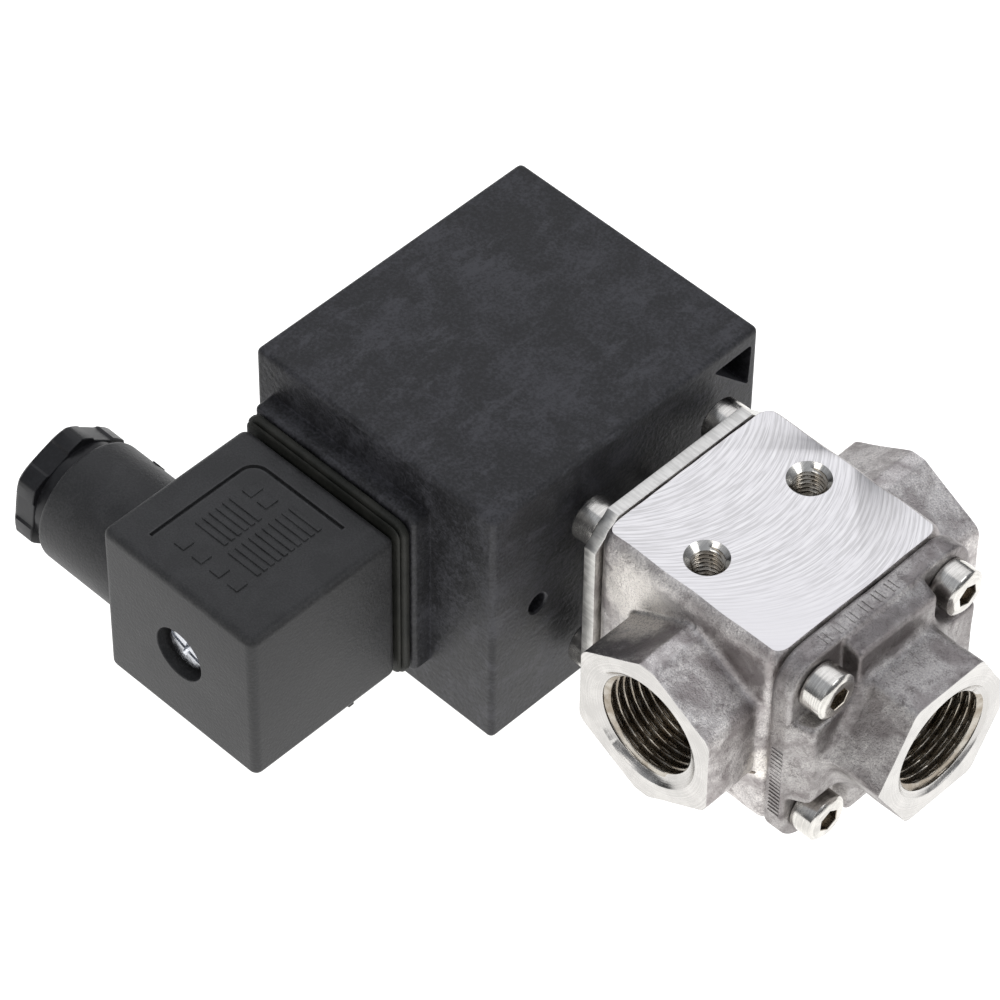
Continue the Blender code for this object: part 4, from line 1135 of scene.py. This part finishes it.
def make_valve_body():
    back, front = VALVE.x
    reach = VALVE.y[1] + 2
    top = VALVE.z[1]
    body = mesh_field("cast_body", body_field, (back - 1.5, -reach, -top - 2.5),
                      (front + 1.5, reach, top + 2.5), "cast_aluminium")
    for side in (1, -1):
        z = sorted((top * side, (top + 4) * side))
        cut(body, block("milling", (back - 3, front + 3), (-reach, reach), z, "milled"))
        y = sorted((PORT_FACE_Y * side, (PORT_FACE_Y + 4) * side))
        cut(body, block("facing", (back - 3, front + 3), y, (-top, top), "lathe_y"))
    for x in ((back - 4, back + 0.02), (front - 0.02, front + 4)):
        cut(body, block("end_facing", x, (-reach, reach), (-top - 3, top + 3), "lathe_x"))

    tube_seat, tube_seat_x, seal_outer, seal_inner, seal_floor_x = 12.3, 9.5, 11.3, 8.8, 11.4
    chamber, rear_chamber, rear_end_x, seat, seat_x = 9.0, 7.5, 22.0, 4.0, 26.0
    chambers = [(back - 1, 0), (back - 1, tube_seat), (tube_seat_x, tube_seat), (tube_seat_x, seal_outer),
                (seal_floor_x, seal_outer), (seal_floor_x, seal_inner), (tube_seat_x, seal_inner),
                (tube_seat_x, rear_chamber), (rear_end_x, rear_chamber), (rear_end_x, seat), (seat_x, seat),
                (seat_x, seat + 1.0), (seat_x - 0.8, seat + 1.6), (seat_x - 0.8, chamber),
                (front + 1, chamber), (front + 1, 0)]
    cut(body, turned("chambers", chambers, "lathe_x"))
    for flip, passage_x, floor in ((False, 20.8, 6.0), (True, 30.2, 7.0)):
        where = {"axis": "Y", "at": (PORT_X, 0, 0), "flip": flip}
        cut(body, *port("side_port", PORT_FACE_Y, PORT_FLOOR_Y, SIDE_MOUTH, "lathe_y", **where))
        where["at"] = (passage_x, 0, 0)
        cut(body, prism("passage", circle(2.7), floor, PORT_FLOOR_Y + 1, "lathe_y", **where))
    # The screw holes take the dark thread finish: painted shade inside them.
    cut(body, *screw_holes(back - 1, 17.0, "thread"), *screw_holes(27.0, front + 1, "thread"))
    for side in (-1, 1):
        where = {"axis": "Z", "at": (MOUNT_X, MOUNT_Y * side, 0)}
        minor, major, pitch, floor, depth = 2.1, 2.5, 0.8, 8.5, 0.95
        sections = threaded(floor, top + 1, minor, major, pitch, 96, 10)
        # The mounting threads take the dark thread finish: painted shade inside the holes.
        cut(body, lofted("mount_thread", sections, "thread", **where))
        sink = [(top - depth, 0), (top - depth, minor), (top, 3.15), (top + 1, 4.25), (top + 1, 0)]
        cut(body, turned("countersink", sink, "stainless", **where))
    floor, out, radius = BODY_WALL_Y - 0.15, BODY_WALL_Y + 3, 1.0
    for x, z in EJECTOR_MARKS:
        mark = [(floor, 0), (floor, radius), (out, radius), (out, 0)]
        cut(body, turned("ejector_mark", mark, "cast_aluminium", axis="Y", at=(x, 0, z), flip=True))
    finish_piece(body, "valve_body")


TICK_COUNT = 18


def flange_ticks():
    """Short raised ticks of the mould on the cover flange's upper and left edges."""
    ticks = []
    x = (COVER_BACK + 1.0, COVER_FACE - 0.6)
    low, high = COVER.y[1] - 0.5, COVER.y[1] + 0.1
    for i in range(TICK_COUNT):
        z = -11.5 + 0.75 * i
        ticks.append(block("tick", x, (-high, -low), (z, z + 0.25), "cast_cover"))
        y = -10.0 + 0.85 * i
        if i % 3 < 2:
            ticks.append(block("tick", x, (y, y + 0.3), (low, high), "cast_cover"))
    return joined("ticks", ticks)


def make_end_cover():
    half = COVER.y[1]
    face = COVER.x[1]
    cover = mesh_field("cast_cover", cover_field, (COVER_BACK - 2.5, -half - 1.5, -half - 1.5),
                       (face + 2.5, half + 1.5, half + 1.5), "cast_cover")
    fuse(cover, flange_ticks())
    cut(cover, block("back_facing", (COVER_BACK - 5, COVER_BACK + 0.04), (-half - 3, half + 3),
                     (-half - 3, half + 3), "lathe_x"))
    cut(cover, block("port_facing", (face, face + 5), (-half, half), (-half, half), "lathe_x"))
    spigot, groove, tip = 8.7, 7.1, COVER.x[0]
    low, high, end = 35.9, 37.9, COVER_BACK + 1
    profile = [(tip, 0), (tip, 4.6), (tip + 0.8, 5.2), (tip + 0.8, spigot), (low, spigot), (low, groove),
               (high, groove), (high, spigot), (end, spigot), (end, 0)]
    fuse(cover, turned("spigot", profile, "lathe_x"))
    cut(cover, *port("end_port", face, COVER_PORT_FLOOR_X, COVER_MOUTH, "lathe_x"))
    cut(cover, prism("cover_passage", circle(3.5), tip - 1, COVER_PORT_FLOOR_X + 1, "lathe_x"))
    # The screw holes take the dark thread finish: painted shade inside them.
    cut(cover, *screw_holes(COVER_BACK - 1, COVER_FACE + 1, "thread"))
    finish_piece(cover, "end_cover")


# ---- hidden pieces, floor, light and camera

MIDDLE = (Vector(cad_bounds[0]) + Vector(cad_bounds[1])) / 2
LIGHT_DISTANCE = 0.9           # in metres


def finish_inner_nodes():
    """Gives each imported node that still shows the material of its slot."""
    for part in frame["record"]["subparts"]:
        node = frame["nodes"][part["node"]]
        finish = FINISH[part["material_slot"]]
        if not node.material_slots:
            node.data.materials.append(finish)
        for slot in node.material_slots:
            slot.material = finish


def make_floor():
    """White paper, lit from within so that it stays white under the model."""
    bm = bmesh.new()
    bmesh.ops.create_grid(bm, x_segments=1, y_segments=1, size=3.0)
    mesh = bpy.data.meshes.new("floor")
    bm.to_mesh(mesh)
    bm.free()
    floor = add_object("floor", mesh)
    floor.location = (0, 0, ORIGIN.z + COIL.z[0] * MM - 0.0002)
    paper = bpy.data.materials.new("floor_paper")
    paper.use_nodes = True
    shader = paper.node_tree.nodes["Principled BSDF"]
    shader.inputs["Base Color"].default_value = (0.35, 0.35, 0.35, 1.0)
    shader.inputs["Roughness"].default_value = 0.9
    shader.inputs["Emission Color"].default_value = (1.0, 0.995, 0.985, 1.0)
    shader.inputs["Emission Strength"].default_value = 1.15
    mesh.materials.append(paper)


def away_from(azimuth, elevation):
    """Direction of a viewer or a light, from angles in radians: azimuth 0 is the -Y side."""
    flat = cos(elevation)
    return Vector((flat * sin(azimuth), -flat * cos(azimuth), sin(elevation)))


def area_light(name, azimuth, elevation, size, radiance, colour):
    """A square soft light aimed at the middle of the model."""
    light = bpy.data.lights.new(name, "AREA")
    light.shape = "SQUARE"
    light.size = size
    light.energy = radiance * pi * size ** 2
    light.color = colour
    obj = add_object(name, light)
    away = away_from(radians(azimuth), radians(elevation))
    obj.location = MIDDLE + away * LIGHT_DISTANCE
    obj.rotation_euler = (-away).to_track_quat("-Z", "Y").to_euler()


def make_light():
    """A grey studio that is darker towards the horizon, and three soft lights."""
    world = bpy.data.worlds.new("studio")
    bpy.context.scene.world = world
    world.use_nodes = True
    nodes = world.node_tree.nodes
    links = world.node_tree.links
    background = nodes["Background"]
    coordinates = nodes.new("ShaderNodeTexCoord")
    split = nodes.new("ShaderNodeSeparateXYZ")
    ramp = nodes.new("ShaderNodeValToRGB")
    links.new(coordinates.outputs["Generated"], split.inputs[0])
    links.new(split.outputs["Z"], ramp.inputs["Fac"])
    links.new(ramp.outputs["Color"], background.inputs["Color"])
    stops = ((0.05, (0.08, 0.08, 0.085, 1.0)), (0.75, (0.52, 0.54, 0.58, 1.0)))
    for element, (position, colour) in zip(ramp.color_ramp.elements, stops):
        element.position = position
        element.color = colour
    area_light("back_light", 224, 50, size=1.0, radiance=0.64, colour=(1.0, 0.985, 1.0))
    area_light("front_light", 5, 38, size=0.45, radiance=2.0, colour=(1.0, 0.98, 0.95))
    area_light("side_light", 110, 35, size=0.35, radiance=3.2, colour=(1.0, 1.0, 1.0))


def make_camera():
    """The camera looks down at the connector side from a little less than 50 degrees."""
    roll = radians(0.764)
    distance = 0.698
    aim = ORIGIN + Vector((-12.29, -15.02, 6.47)) * MM
    away = away_from(radians(44.088), radians(48.006))
    data = bpy.data.cameras.new("camera")
    data.lens = 186.94
    data.sensor_width = 36.0
    data.clip_start = 0.01
    data.clip_end = 20.0
    camera = add_object("camera", data)
    turn = (-away).to_track_quat("-Z", "Y").to_matrix().to_4x4() @ Matrix.Rotation(roll, 4, "Z")
    camera.matrix_world = Matrix.Translation(aim + away * distance) @ turn
    bpy.context.scene.camera = camera


make_camera()
make_light()
make_floor()
finish_inner_nodes()
make_coil()
make_coil_fixing()
make_connector()
make_gland()
make_armature()
make_spring()
make_screws()
make_plate()
make_valve_body()
make_end_cover()
bpy.context.scene.view_settings.view_transform = "Standard"
bpy.context.view_layer.update()
